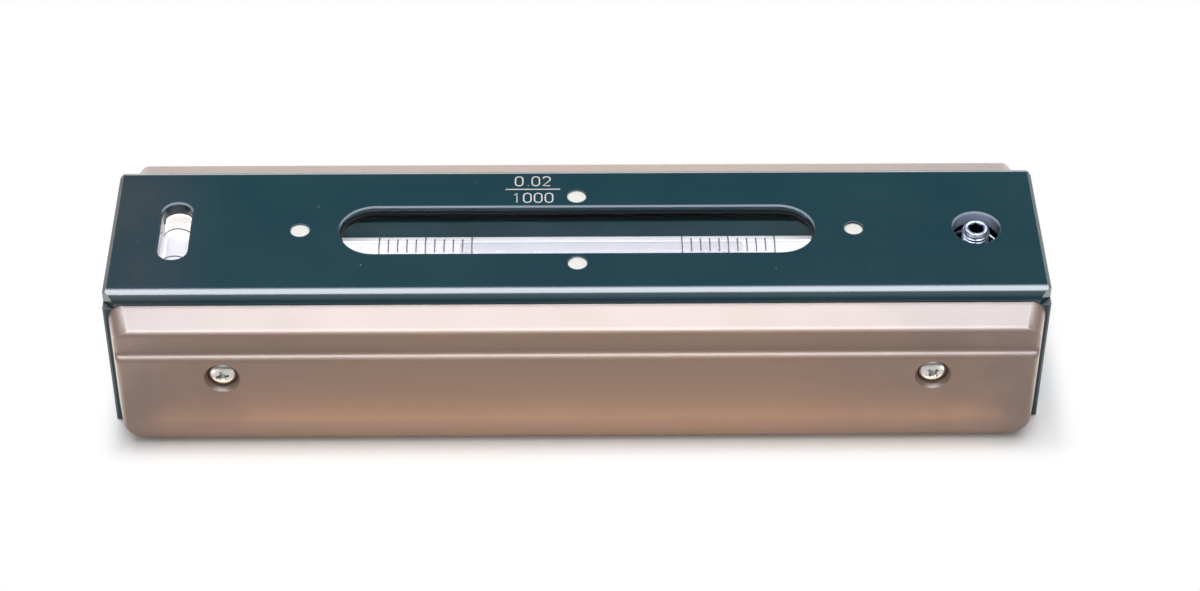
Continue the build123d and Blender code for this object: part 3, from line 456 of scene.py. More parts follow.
def finish(name, colour, patch_colour, roughness, metallic=0.0, grain=0.0004, patch=0.01, bump=0.00001,
           edge=0.0002, wear_and_glint_colour=None, worn=0.5, specks=0.0, speck_colour=(0.5, 0.5, 0.48, 1),
           fine_tone=0.12, specular=0.5, coat=0.0, coat_roughness=0.1, glow=0.0,
           painted_end_shading=None, bare_and_sheen_bore=None, crisp=None, painted_rim_highlight=None):
    """A solid finish: grain, patches, soft edges with a wear-and-glint colour, specks, painted light."""
    material, tree = new_material(name)
    position = add_node(tree, "ShaderNodeTexCoord").outputs["Object"]
    texture = place_group(tree, grain_group, {"Position": position, "Grain Size": grain, "Patch Size": patch})
    if crisp:
        crisp_place, crisp_reach, crisp_edge = crisp
        away = vector_node(tree, "DISTANCE", vector_node(tree, "ABSOLUTE", position), crisp_place)
        near = math_node(tree, "LESS_THAN", away, crisp_reach)
        edge = math_node(tree, "MULTIPLY_ADD", near, crisp_edge - edge, edge)
    edges = place_group(tree, edge_group, {"Position": position, "Radius": edge, "Unevenness": 0.5})
    tone = mix_colours(tree, texture["Patches"], colour, patch_colour)
    darker = [value * (1 - fine_tone) for value in patch_colour[:3]] + [1.0]
    shade = mix_colours(tree, math_node(tree, "MULTIPLY", texture["Fine"], GRAIN_SHARE), tone, darker)
    if specks:
        dots = place_group(tree, speck_group, {"Position": position, "Share": specks})["Specks"]
        shade = mix_colours(tree, math_node(tree, "MULTIPLY", dots, SPECK_SHARE), shade, speck_colour)
    # The wear-and-glint colour marks real wear on the edges, and on the side plates it is also a painted
    # glint.
    if wear_and_glint_colour:
        shade = mix_colours(tree, math_node(tree, "MULTIPLY", edges["Worn"], worn), shade, wear_and_glint_colour)
    # Painted sheen and shade at the ends: a colour mixed in along X, lighter where it stands for a sheen and
    # darker where it stands for shade.
    if painted_end_shading:
        start, end, end_shading_colour = painted_end_shading
        along = axis_of(tree, position, "X")
        if start > 0:
            along = math_node(tree, "ABSOLUTE", along)
        patchy = math_node(tree, "MULTIPLY_ADD", texture["Patches"], END_SHADING_PATCHES, END_SHADING_LEAST)
        share = math_node(tree, "MULTIPLY", remap(tree, along, start, end), patchy)
        shade = mix_colours(tree, share, shade, end_shading_colour)
    # Painted reflection in a bore: the rear half of its wall takes a bright colour, for bare metal and the
    # light it mirrors.
    if bare_and_sheen_bore:
        bore_place, bore_radius, bare_and_sheen_colour = bare_and_sheen_bore
        away = vector_node(tree, "DISTANCE", position, bore_place)
        inside = math_node(tree, "LESS_THAN", away, bore_radius)
        rear = remap(tree, axis_of(tree, position, "Y"), *BORE_REAR)
        wall = math_node(tree, "MULTIPLY", inside, remap(tree, edges["Lean"], *BORE_WALL))
        shade = mix_colours(tree, math_node(tree, "MULTIPLY", wall, rear), shade, bare_and_sheen_colour)
    # Painted highlight on rims: slopes near the middle that face the front take a bright colour, where a rim
    # would mirror the lamp.
    if painted_rim_highlight:
        half_width, rim_highlight_colour = painted_rim_highlight
        across = math_node(tree, "ABSOLUTE", axis_of(tree, position, "Y"))
        near_middle = math_node(tree, "LESS_THAN", across, half_width)
        leaning = remap(tree, edges["Lean"], *RIM_LEANS)
        slope = math_node(tree, "MULTIPLY", leaning, remap(tree, edges["Lean"], *RIM_STOPS))
        to_front = remap(tree, axis_of(tree, edges["Normal"], "Y"), *RIM_FACES_FRONT)
        rim_highlight_share = math_node(tree, "MULTIPLY", math_node(tree, "MULTIPLY", near_middle, slope), to_front)
        shade = mix_colours(tree, rim_highlight_share, shade, rim_highlight_colour)
    drift = math_node(tree, "SUBTRACT", texture["Patches"], 0.5)
    rough = math_node(tree, "MULTIPLY_ADD", drift, ROUGHNESS_SWING, roughness)
    relief = add_node(tree, "ShaderNodeBump", {
        "Height": texture["Height"], "Distance": bump, "Strength": 1.0, "Normal": edges["Normal"],
    }).outputs["Normal"]
    # A glow sets Emission Strength: painted light, the surface shines in its own colour without a lamp.
    shader = add_node(tree, "ShaderNodeBsdfPrincipled", {
        "Base Color": shade, "Roughness": rough, "Metallic": by_stops(tree, edges["Lean"], metallic),
        "Normal": relief, "Specular IOR Level": specular,
        "Coat Weight": by_stops(tree, edges["Lean"], coat), "Coat Roughness": coat_roughness,
        "Coat IOR": 1.5, "Emission Color": shade, "Emission Strength": glow,
    })
    add_node(tree, "ShaderNodeOutputMaterial", {"Surface": shader.outputs[0]})
    return material


finishes = {}
finishes["iron_paint"] = finish(
    "iron_paint", paint(40, 60, 66), paint(46, 68, 75), 0.5, bump=0.00002, grain=0.0006,
    wear_and_glint_colour=paint(90, 100, 104), worn=0.4, specks=0.05, specular=0.3,
)
finishes["carrier_paint"] = finish(
    "carrier_paint", paint(27, 64, 72), paint(33, 70, 78), 0.5, bump=0.00001, specular=0.3,
)
finishes["white_filling"] = finish(
    "white_filling", paint(226, 224, 220), paint(234, 232, 228), 0.6, bump=0.00003, grain=0.0003,
    patch=0.001, specks=0.12, speck_colour=(0.35, 0.36, 0.36, 1), fine_tone=0.06, specular=0.08,
)
# The plaster glows a little: painted light standing in for the lamp light that reaches the deep vial bed.
finishes["plaster"] = finish(
    "plaster", paint(230, 229, 235), paint(236, 235, 240), 0.7, bump=0.00001, fine_tone=0.03, glow=0.43,
)
finishes["black_rubber"] = finish(
    "black_rubber", paint(12, 13, 14), paint(18, 19, 20), 0.7, bump=0.00002, specular=0.15,
)
finishes["ink"] = finish("ink", paint(36, 38, 46), paint(52, 54, 62), 0.6, grain=0.0001, bump=0.000002)
# The plug glows too: painted light, so it stays as white as the plaster.
finishes["plug_plastic"] = finish(
    "plug_plastic", paint(240, 238, 234), paint(244, 242, 239), 0.6, bump=0.00001, glow=0.5,
)
print("finishes so far:", sorted(finishes))

# %% [markdown]
# ## The paint of the cover
# The cover is a dark blue-green satin. Its flat top shows almost no reflection, while the
# rounded long edges, which hands have polished, carry a clear white band. So the clear
# coat is off on faces that point straight up and full on those that lean over, and the
# share comes from the face's own direction. Three marks are painted light: a lighter grey
# towards the left end is a painted sheen, the rear wall of the adjusting screw's bore is
# painted bright for bare metal and its reflection, and a thin line on the rims of the
# openings is a painted highlight.

# %% The cover's paint
LEFT_END = (-0.074, -0.098)
BORE_PLACE, BORE_RADIUS = (0.086, 0, 0.0345), 0.0056
OPENINGS_HALF_WIDTH = 0.014
finishes["cover_paint"] = finish(
    "cover_paint", paint(15, 55, 66), paint(22, 60, 70), 0.42, bump=0.000006, grain=0.0005, patch=0.03,
    wear_and_glint_colour=paint(120, 134, 146), worn=0.4, specks=0.04, specular=0.02, edge=0.0003,
    fine_tone=0.1, coat=[(0.0015, 0), (0.03, 1)], coat_roughness=0.17,
    # painted sheen: lighter grey towards the left end
    painted_end_shading=(*LEFT_END, paint(66, 69, 74)),
    # painted reflection: the bore's rear wall in bright bluish grey, for bare metal and its sheen
    bare_and_sheen_bore=(BORE_PLACE, BORE_RADIUS, paint(165, 176, 200)),
    # painted highlight: a thin bright line on the rims of the openings
    painted_rim_highlight=(OPENINGS_HALF_WIDTH, paint(156, 170, 184)),
)
print("cover paint ready")

# %% [markdown]
# ## The bronze paint of the side plates
# The plates have a metallic paint: fine flakes in a warm clear binder. Under the lamp the
# sloping shelf goes nearly white, and the upright face mirrors the table in a dull copper.
# So the metallic share and the coat both grow as a face leans over. Both ends are painted a
# little darker, as painted shade, and the lilac-white worn colour of the edges is partly a
# painted glint. The wide soft edges stay crisp only round the recesses of the screws.

# %% The plates' paint
BOTH_ENDS = (0.03, 0.098)
RECESS_PLACE, RECESS_REACH, RECESS_EDGE = (0.0751, 0.0292, 0.02), 0.0046, 0.0001
plate_paint = finish(
    "plate_paint", paint(144, 120, 104), paint(149, 124, 106), 0.6,
    metallic=[(0.035, 0), (0.15, 0.15), (0.7, 0.8)], bump=0.000008, grain=0.00022, patch=0.02,
    # the lilac-white edge colour is wear and also a painted glint along the edges
    wear_and_glint_colour=paint(204, 194, 194), worn=0.55, specks=0.02, specular=0.25,
    coat=[(0.03, 0.38), (0.08, 0.95)], coat_roughness=0.38, edge=0.001, fine_tone=0.16,
    # painted shade: both ends a little darker
    painted_end_shading=(*BOTH_ENDS, paint(112, 98, 94)),
    crisp=(RECESS_PLACE, RECESS_REACH, RECESS_EDGE),
)
finishes["plate_paint"] = plate_paint
print("plate paint ready")

# %% [markdown]
# ## Bare metal
# The screws are bright steel with fine lathe marks, the bracket is brass and the spring is
# darker. Metal is all reflection, so what varies is the roughness and the tiny relief.

# %% Metals
MARK_RELIEF, SMUDGE, SMUDGE_TONE = 0.000004, 0.1, 0.82


def metal(name, colour, roughness, centre=(0, 0, 0), along=(0, 0, 1), pitch=0.00018, edge=0.00012):
    """Bare metal with turning marks round an axis and smudged roughness."""
    material, tree = new_material(name)
    position = add_node(tree, "ShaderNodeTexCoord").outputs["Object"]
    marks = place_group(tree, turning_group, {
        "Position": position, "Centre": centre, "Along": along, "Pitch": pitch,
    })["Marks"]
    texture = place_group(tree, grain_group, {
        "Position": position, "Grain Size": 0.0003, "Patch Size": 0.002,
    })
    edges = place_group(tree, edge_group, {"Position": position, "Radius": edge, "Unevenness": 0.3})
    darker = [value * SMUDGE_TONE for value in colour[:3]] + [1.0]
    tone = mix_colours(tree, math_node(tree, "MULTIPLY", texture["Patches"], 0.6), colour, darker)
    rough = math_node(tree, "MULTIPLY_ADD", texture["Patches"], SMUDGE, roughness)
    bumped = add_node(tree, "ShaderNodeBump", {
        "Height": marks, "Distance": MARK_RELIEF, "Strength": 1.0, "Normal": edges["Normal"],
    }).outputs["Normal"]
    shader = add_node(tree, "ShaderNodeBsdfPrincipled", {
        "Base Color": tone, "Roughness": rough, "Metallic": 1.0, "Normal": bumped,
    })
    add_node(tree, "ShaderNodeOutputMaterial", {"Surface": shader.outputs[0]})
    return material


screw_low, screw_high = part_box("adjusting_screw")
screw_middle = (screw_low + screw_high) / 2
finishes["steel"] = metal("steel", paint(200, 202, 206), 0.2, along=(0, 1, 0))
finishes["spring_steel"] = metal("spring_steel", paint(120, 122, 128), 0.3, centre=screw_middle)
finishes["brass"] = metal("brass", paint(190, 160, 96), 0.28, along=(0, 1, 0))
print("metals ready")

# %% [markdown]
# ## Glass, spirit and bubble
# The window, the vial and the spirit are all clear, and behind them lies white plaster that
# must stay white. Real refraction would need many light paths and would darken it, so each
# layer is a thin gloss: a low alpha lets the plaster through, the surface still mirrors the
# lamp, and no layer casts a shadow. The window also carries fine smears and dust.

# %% Clear finishes
CLEAR_ROUGHNESS, DUST_SPACING, DUST_SIZE, DUST_ALPHA = 0.04, 0.0016, 0.05, 0.6
EDGE_ON = (0.45, 1.0)


def clear(name, tint, see, rim, smear=0.05, dust=0.0):
    """A see-through finish that is denser where it is seen edge on and lets the light through."""
    material, tree = new_material(name)
    position = add_node(tree, "ShaderNodeTexCoord").outputs["Object"]
    texture = place_group(tree, grain_group, {
        "Position": position, "Grain Size": 0.001, "Patch Size": 0.012,
    })
    rough = math_node(tree, "MULTIPLY_ADD", texture["Patches"], smear, CLEAR_ROUGHNESS)
    slant = add_node(tree, "ShaderNodeLayerWeight", {"Blend": 0.35}).outputs["Facing"]
    alpha = remap(tree, slant, *EDGE_ON, see, rim)
    shade = tint
    if dust:
        dots = place_group(tree, speck_group, {
            "Position": position, "Spacing": DUST_SPACING, "Size": DUST_SIZE, "Share": dust,
        })["Specks"]
        alpha = math_node(tree, "MAXIMUM", alpha, math_node(tree, "MULTIPLY", dots, DUST_ALPHA))
        shade = mix_colours(tree, dots, tint, paint(200, 206, 206))
    in_shadow = add_node(tree, "ShaderNodeLightPath").outputs["Is Shadow Ray"]
    alpha = math_node(tree, "MULTIPLY", alpha, math_node(tree, "SUBTRACT", 1.0, in_shadow))
    shader = add_node(tree, "ShaderNodeBsdfPrincipled", {
        "Base Color": shade, "Roughness": rough, "Alpha": alpha, "IOR": 1.5,
    })
    add_node(tree, "ShaderNodeOutputMaterial", {"Surface": shader.outputs[0]})
    return material


finishes["window_glass"] = clear("window_glass", paint(50, 66, 66), 0.03, 0.2, dust=0.3)
finishes["vial_glass"] = clear("vial_glass", paint(224, 230, 232), 0.01, 0.3, smear=0.02)
finishes["vial_liquid"] = clear("vial_liquid", paint(232, 240, 242), 0.005, 0.06, smear=0.0)
# The bubble's bluish tint, denser where it is seen edge on, is painted shade along its curved edge.
finishes["bubble"] = clear("bubble", paint(150, 158, 190), 0.1, 0.3, smear=0.0)
print("all finishes:", len(finishes))

# %% [markdown]
# ## Dress the CAD pieces
# The record names a material slot for every node, so the finishes are handed out by that
# table and nothing is repeated here.

# %% Hand out the finishes
for part in frame["record"]["subparts"]:
    piece = nodes[part["node"]]
    piece.data.materials.clear()
    piece.data.materials.append(finishes[part["material_slot"]])
print("dressed pieces:", len(nodes))

# %% [markdown]
# ## The adjusting screw
# The CAD screw is a plain cylinder with a hexagon socket. In the open hole the real one
# shows its thread, a chamfered end and the socket. A thread is a wavy radius along a
# helix, so the surface is a grid of rings whose radius follows the height plus the angle,
# and the same rings close in over the chamfer and run down into the hexagon.

# %% Rings, threads and hexagons
PITCH, THREAD_DEPTH, THREAD_ROOT, THREAD_FLANK = 0.75 * MM, 0.44 * MM, 0.12, 0.7
CROWN_RADIUS, TIP_RADIUS = 2.35 * MM, 1.9 * MM
AROUND, ROWS_PER_TURN = 72, 10
SMOOTH_UNDER = math.radians(32)


def ring_at(mesh, centre, height, radius_at):
    """A closed ring of points round an upright axis."""
    ring = []
    for step in range(AROUND):
        angle = math.tau * step / AROUND
        radius = radius_at(angle)
        ring.append(mesh.verts.new((
            centre.x + radius * math.cos(angle), centre.y + radius * math.sin(angle), height,
        )))
    return ring


def join_rings(mesh, rings):
    """Skin neighbouring rings with four-sided faces."""
    for lower, upper in zip(rings, rings[1:]):
        for step in range(len(lower)):
            after = (step + 1) % len(lower)
            mesh.faces.new((lower[step], lower[after], upper[after], upper[step]))


def thread_radius(height, angle, low, high, outer):
    """The radius of a chamfered thread at a height and an angle."""
    turn = (height / PITCH - angle / math.tau) % 1.0
    crest = 1 - abs(2 * turn - 1)
    wave = min(max((crest - THREAD_ROOT) / THREAD_FLANK, 0), 1)
    radius = outer - THREAD_DEPTH * (1 - wave)
    top_limit = CROWN_RADIUS + (high - height)
    tip_limit = TIP_RADIUS + (height - low)
    return min(radius, top_limit, tip_limit)


def hexagon_radius(angle, flats):
    """The distance from the middle of a hexagon, with a corner to the front, to its side."""
    sector = math.tau / 6
    return flats / 2 / math.cos(((angle - math.tau / 4) % sector) - sector / 2)


def finish_mesh(mesh, name, material, slot, body, *replaced):
    """Turn a bmesh into a shaded piece that rides on a CAD body."""
    bmesh.ops.recalc_face_normals(mesh, faces=mesh.faces)
    data = bpy.data.meshes.new(name)
    mesh.to_mesh(data)
    mesh.free()
    data.shade_smooth()
    data.set_sharp_from_angle(angle=SMOOTH_UNDER)
    data.materials.append(material)
    piece = add_object(name, data)
    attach(piece, body)
    if replaced:
        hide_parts(*replaced)
    print(name, "has", len(data.polygons), "faces")
    return piece


# %% The adjusting screw
SOCKET_FLATS, SOCKET_RIM, SOCKET_CHAMFER = 3.0 * MM, 1.85 * MM, 0.18 * MM
SOCKET_DEPTH, DRILL_POINT, POINT_RADIUS = 3.4 * MM, 0.5 * MM, 0.1 * MM
SHADED_SOCKET_RADIUS = SOCKET_RIM * 0.97

low, high = screw_low.z, screw_high.z
outer = (screw_high.x - screw_low.x) / 2
rows = int((high - low) / PITCH * ROWS_PER_TURN)
mesh = bmesh.new()
rings = []
for row in range(rows + 1):
    z = low + (high - low) * row / rows
    rings.append(ring_at(mesh, screw_middle, z, lambda a: thread_radius(z, a, low, high, outer)))
rings.append(ring_at(mesh, screw_middle, high, lambda a: SOCKET_RIM))
for depth in (SOCKET_CHAMFER, SOCKET_DEPTH):
    rings.append(ring_at(mesh, screw_middle, high - depth, lambda a: hexagon_radius(a, SOCKET_FLATS)))
rings.append(ring_at(mesh, screw_middle, high - SOCKET_DEPTH - DRILL_POINT, lambda a: POINT_RADIUS))
join_rings(mesh, rings)
mesh.faces.new(rings[-1])
mesh.faces.new(list(reversed(rings[0])))
# Faces inside the socket take a second, dark metal: painted shade for the deep hexagon.
for face in mesh.faces:
    spot = face.calc_center_median()
    in_socket = (spot - screw_middle).to_2d().length < SHADED_SOCKET_RADIUS and spot.z > 0.5 * (low + high)
    face.material_index = 1 if in_socket else 0
screw_steel = metal("screw_steel", paint(126, 132, 146), 0.26, centre=screw_middle, pitch=0.0001)
screw = finish_mesh(
    mesh, "threaded_adjusting_screw", screw_steel, "steel", "adjusting_screw", "adjusting_screw"
)
# The second material: a dark metal as painted shade in the socket.
screw.data.materials.append(metal("shaded_socket", paint(46, 50, 58), 0.45, centre=screw_middle))

# %% [markdown]
# ## The spring that gives
# The spring stands between the cover and the carrier's arm, and gets longer or shorter when
# the vial is tilted. A rigid piece would cut into the arm. Here a plain copy of its coil takes
# the node's place, and the CAD node is hidden.

# %% The spring that gives
low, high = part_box("adjusting_spring")
coil = add_object("giving_spring", bpy.data.objects["adjusting_spring"].data.copy())
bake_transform(coil)
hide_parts("adjusting_spring")
print("spring from", round(low.z / MM, 2), "to", round(high.z / MM, 2), "mm")

# %% [markdown]
# ## The side plate screws
# Each plate hangs on two pan head screws with a cross recess. A head is a profile turned
# round its axis, and the recess is cut with a tapered cross: two wedges and a blunt cone.
# A cut with a solver is shorter than building the facets of the cross by hand, and it
# leaves the sharp corners of a punched recess.

# %% Turning and cutting
SCREW_STEPS = 48


def turned(mesh, profile, frame_of_screw):
    """Turn a profile of (radius, height) pairs round the axis of a screw."""
    rings = []
    for radius, height in profile:
        ring = []
        for step in range(SCREW_STEPS):
            angle = math.tau * step / SCREW_STEPS
            point = Vector((radius * math.cos(angle), radius * math.sin(angle), height))
            ring.append(mesh.verts.new(frame_of_screw @ point))
        rings.append(ring)
    join_rings(mesh, rings)
    mesh.faces.new(list(reversed(rings[0])))
    mesh.faces.new(rings[-1])


def wedge(mesh, mouth, floor, top, bottom, frame_of_screw):
    """A block whose top and bottom rectangles differ in size."""
    corners = []
    for (reach, width), height in ((floor, bottom), (mouth, top)):
        for x, y in ((-reach, -width), (reach, -width), (reach, width), (-reach, width)):
            corners.append(mesh.verts.new(frame_of_screw @ Vector((x, y, height))))
    for face in ((3, 2, 1, 0), (4, 5, 6, 7), (0, 1, 5, 4), (1, 2, 6, 5), (2, 3, 7, 6), (3, 0, 4, 7)):
        mesh.faces.new([corners[index] for index in face])


def scratch_object(mesh, name):
    """A bmesh as a plain object, for cutting."""
    bmesh.ops.recalc_face_normals(mesh, faces=mesh.faces)
    data = bpy.data.meshes.new(name)
    mesh.to_mesh(data)
    mesh.free()
    return add_object(name, data)


def cut_away(solid, cutter, overlapping):
    """One bmesh with another cut out of it, which may overlap itself."""
    blank, tool = scratch_object(solid, "blank"), scratch_object(cutter, "tool")
    cut = blank.modifiers.new("cut", "BOOLEAN")
    cut.operation = "DIFFERENCE"
    cut.solver = "EXACT"
    cut.use_self = overlapping
    cut.object = tool
    data = bpy.data.meshes.new_from_object(blank.evaluated_get(bpy.context.evaluated_depsgraph_get()))
    mesh = bmesh.new()
    mesh.from_mesh(data)
    bpy.data.objects.remove(blank)
    bpy.data.objects.remove(tool)
    return mesh


def screw_stand(x, seat, height, outward):
    """The place of a plate screw, with its axis pointing out of the plate."""
    lie_down = Matrix.Rotation(math.radians(-90 * outward), 4, "X")
    return Matrix.Translation((x, seat, height)) @ lie_down


# %% The side plate screws
low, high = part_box("front_side_plate_screws")
HEAD_RADIUS = (high.z - low.z) / 2
SHANK_RADIUS, HEAD_HEIGHT, HEAD_RIM, HEAD_DOME = 1.5 * MM, 1.9 * MM, 0.5 * MM, 1.1 * MM
DOME_ANGLE, DOME_STEPS = math.radians(84), 9
CROSS_REACH, CROSS_HALF_WIDTH, CROSS_DEPTH = 1.62 * MM, 0.36 * MM, 1.25 * MM
CROSS_TAPER, CROSS_NARROWING = 0.5, 0.8
CONE_MOUTH, CONE_FLOOR, CUT_CLEARANCE = 0.95 * MM, 0.45 * MM, 0.2 * MM

head_profile = [(SHANK_RADIUS, 0.0), (HEAD_RADIUS, 0.0)]
for step in range(DOME_STEPS + 1):
    angle = DOME_ANGLE * step / DOME_STEPS
    head_profile.append((
        HEAD_RADIUS * math.cos(angle), HEAD_RIM + HEAD_DOME * math.sin(angle),
    ))
plate_steel = metal("plate_steel", paint(208, 208, 206), 0.16, along=(0, 1, 0), pitch=0.0003, edge=0.00008)


def plate_screws(node, outward, turns):
    """The two screws of a side plate, each with its recess turned by its own angle."""
    low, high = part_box(node)
    seat = high.y - HEAD_HEIGHT if outward > 0 else low.y + HEAD_HEIGHT
    tip = low.y if outward > 0 else high.y
    shank = abs(seat - tip)
    top = HEAD_RIM + HEAD_DOME + CUT_CLEARANCE
    floor = top - CROSS_DEPTH
    mouth_size = (CROSS_REACH, CROSS_HALF_WIDTH)
    floor_size = (CROSS_REACH * CROSS_TAPER, CROSS_HALF_WIDTH * CROSS_NARROWING)
    solid, cutter = bmesh.new(), bmesh.new()
    for x, turn in zip((low.x + HEAD_RADIUS, high.x - HEAD_RADIUS), turns):
        stand = screw_stand(x, seat, (low.z + high.z) / 2, outward)
        stand = stand @ Matrix.Rotation(math.radians(turn), 4, "Z")
        turned(solid, [(SHANK_RADIUS, -shank)] + head_profile, stand)
        for quarter in (0, 90):
            spin = stand @ Matrix.Rotation(math.radians(quarter), 4, "Z")
            wedge(cutter, mouth_size, floor_size, top, floor, spin)
        turned(cutter, [(CONE_FLOOR, floor - CUT_CLEARANCE), (CONE_MOUTH, top)], stand)
    mesh = cut_away(solid, cutter, True)
    return finish_mesh(mesh, node.replace("_screws", "_cross_screws"), plate_steel, "steel", "base", node)


plate_screws("front_side_plate_screws", -1, (8, 42))
plate_screws("rear_side_plate_screws", 1, (20, 65))

# %% [markdown]
# ## The side plates
# A side plate is a casting whose ends lean in a little, with large soft corners that run
# round the leaning ends. That is a shape of slices: at every height the plate has a known
# depth and a known length, so we walk up the profile of its face and loft one ring per
# height. The corners come from a circle that shortens the ring near the top and bottom.
# The screw recesses are then cut with turned tools. The plates of the CAD have squarer
# corners and a hollow back. These take their place, with a plain back that nobody sees.

# %% The profile of a side plate's face
low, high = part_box("front_side_plate")
PLATE_HALF, PLATE_BACK, PLATE_DEPTH = high.x, -high.y, high.y - low.y
PLATE_FLOOR, PLATE_TOP = low.z, high.z
END_TAPER, END_ROUND, END_ROUND_FADES = 1.9 * MM, 1.2 * MM, 2 * MM
BOTTOM_CORNER, TOP_CORNER, SHELF_DROP = 4.6 * MM, 3.6 * MM, 2.1 * MM
UPPER_SETBACK, BAND_HEIGHT, LEDGE_DROP = 1.35 * MM, 7.75 * MM, 0.55 * MM
FOOT_HEIGHT, FOOT_SETBACK, FOOT_LIP = 5.9 * MM, 1.0 * MM, 1.0 * MM
FOOT_EDGE_ROUND, FOOT_ROUND, LEDGE_ROUND = 0.35 * MM, 2.0 * MM, 1.25 * MM
BAND_ROUND, SHELF_ROUND, SHELF_START = 0.8 * MM, 1.2 * MM, 0.2 * MM
SHELF_SLOPE = SHELF_DROP / (PLATE_DEPTH - UPPER_SETBACK)
LEDGE_Z = PLATE_TOP - BAND_HEIGHT


def rounded_profile(corners, steps=6, spacing=0.35 * MM):
    """Points along a line of (depth, height, radius) corners, with the corners rounded."""
    points = [Vector(corners[0][:2])]
    for before, here, after in zip(corners, corners[1:], corners[2:]):
        corner, radius = Vector(here[:2]), here[2]
        to_before = (Vector(before[:2]) - corner).normalized()
        to_after = (Vector(after[:2]) - corner).normalized()
        half = to_before.angle(to_after) / 2
        start = corner + to_before * radius / math.tan(half)
        end = corner + to_after * radius / math.tan(half)
        middle_of_arc = corner + (to_before + to_after).normalized() * radius / math.sin(half)
        for step in range(steps + 1):
            spoke = (start - middle_of_arc).lerp(end - middle_of_arc, step / steps)
            points.append(middle_of_arc + spoke.normalized() * radius)
    points.append(Vector(corners[-1][:2]))
    filled = [points[0]]
    for before, here in zip(points, points[1:]):
        pieces = max(1, math.ceil((here - before).length / spacing))
        filled += [before.lerp(here, piece / pieces) for piece in range(1, pieces + 1)]
    return filled


def corner_drop(distance, radius):
    """How much a round corner takes off the length, at a distance from its edge."""
    inside = max(radius - max(distance, 0), 0)
    return radius - math.sqrt(radius ** 2 - inside ** 2)


def end_of_plate(depth, height):
    """Half the plate's length at a depth and a height."""
    shelf = PLATE_TOP - SHELF_SLOPE * depth
    return (PLATE_HALF - END_TAPER * depth / PLATE_DEPTH
            - corner_drop(height - PLATE_FLOOR, BOTTOM_CORNER) - corner_drop(shelf - height, TOP_CORNER))


face_profile = rounded_profile([
    (PLATE_DEPTH - FOOT_SETBACK - FOOT_LIP, PLATE_FLOOR, 0),
    (PLATE_DEPTH - FOOT_SETBACK, PLATE_FLOOR, FOOT_EDGE_ROUND),
    (PLATE_DEPTH, PLATE_FLOOR + FOOT_HEIGHT, FOOT_ROUND),
    (PLATE_DEPTH, LEDGE_Z - LEDGE_DROP, LEDGE_ROUND),
    (PLATE_DEPTH - UPPER_SETBACK, LEDGE_Z, BAND_ROUND),
    (PLATE_DEPTH - UPPER_SETBACK, PLATE_TOP - SHELF_DROP, SHELF_ROUND),
    (SHELF_START, PLATE_TOP - SHELF_SLOPE * SHELF_START, 0),
])
print("slices in a side plate:", len(face_profile))

# %% The side plates
SIDE_STEPS = 8
RECESS_FLOOR, RECESS_MOUTH, RECESS_DEPTH, HOLE_RADIUS = 3.2 * MM, 3.85 * MM, 2.0 * MM, 1.6 * MM
COUNTERSINK_DEPTH = 1.05 * MM
FLARE = (RECESS_MOUTH - RECESS_FLOOR) / COUNTERSINK_DEPTH
RECESS_TOOL = [
    (HOLE_RADIUS, -PLATE_DEPTH), (HOLE_RADIUS, 0.0), (RECESS_FLOOR, 0.0),
    (RECESS_FLOOR, RECESS_DEPTH - COUNTERSINK_DEPTH), (RECESS_MOUTH + FLARE * MM, RECESS_DEPTH + MM),
]


def plate_outline(depth, height):
    """The outline of a side plate at one height, as (x, depth) pairs from end to end."""
    shelf_gap = PLATE_TOP - SHELF_SLOPE * depth - height
    rounding = END_ROUND * min(max(shelf_gap / END_ROUND_FADES, 0.1), 1)
    straight = max(depth - rounding, 0)
    side = []
    for step in range(SIDE_STEPS + 1):
        reach = straight * step / SIDE_STEPS
        side.append((end_of_plate(reach, height), reach))
    corner_x = side[-1][0]
    for step in range(1, SIDE_STEPS + 1):
        angle = math.radians(90) * step / SIDE_STEPS
        side.append((
            corner_x - rounding * (1 - math.cos(angle)),
            straight + min(rounding, depth) * math.sin(angle),
        ))
    return side + [(-x, reach) for x, reach in reversed(side)]


def side_plate(node, outward, screws):
    """A side plate as a stack of rings, with the recesses of its screws cut out."""
    shell, cutter, rings = bmesh.new(), bmesh.new(), []
    for depth, height in face_profile:
        rings.append([
            shell.verts.new((x, outward * (PLATE_BACK + reach), height))
            for x, reach in plate_outline(depth, height)
        ])
    join_rings(shell, rings)
    shell.faces.new(list(reversed(rings[0])))
    shell.faces.new(rings[-1])
    low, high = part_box(screws)
    seat = outward * (PLATE_BACK + PLATE_DEPTH - RECESS_DEPTH)
    for x in (low.x + HEAD_RADIUS, high.x - HEAD_RADIUS):
        turned(cutter, RECESS_TOOL, screw_stand(x, seat, (low.z + high.z) / 2, outward))
    mesh = cut_away(shell, cutter, False)
    return finish_mesh(mesh, node + "_cast", plate_paint, "plate_paint", "base", node)


side_plate("front_side_plate", -1, "front_side_plate_screws")
side_plate("rear_side_plate", 1, "rear_side_plate_screws")

# %% [markdown]
# ## The white fillings
# Over each cover screw lies a dab of white filler. It was pressed in by hand, so its
# outline wavers and its top swells a little. Each dab is a fan of rings with a seeded
# wobble, and it keeps the place and the depth of the CAD filling.

# %% The white fillings
DAB_STEPS, DAB_RADIUS, DAB_SINK = 40, 2.1 * MM, 0.3 * MM
DAB_PROFILE = ((1.0, 1.0), (1.0, 0.22), (0.95, 0.06), (0.7, 0.0), (0.3, 0.0))
WAVES, WAVER_SHARE, MEAN_SHARE, LUMP = 4, 0.018, 0.975, 0.04 * MM
BELOW_COVER, LOW_DAB = 0.05 * MM, 0.25 * MM
random.seed(7)


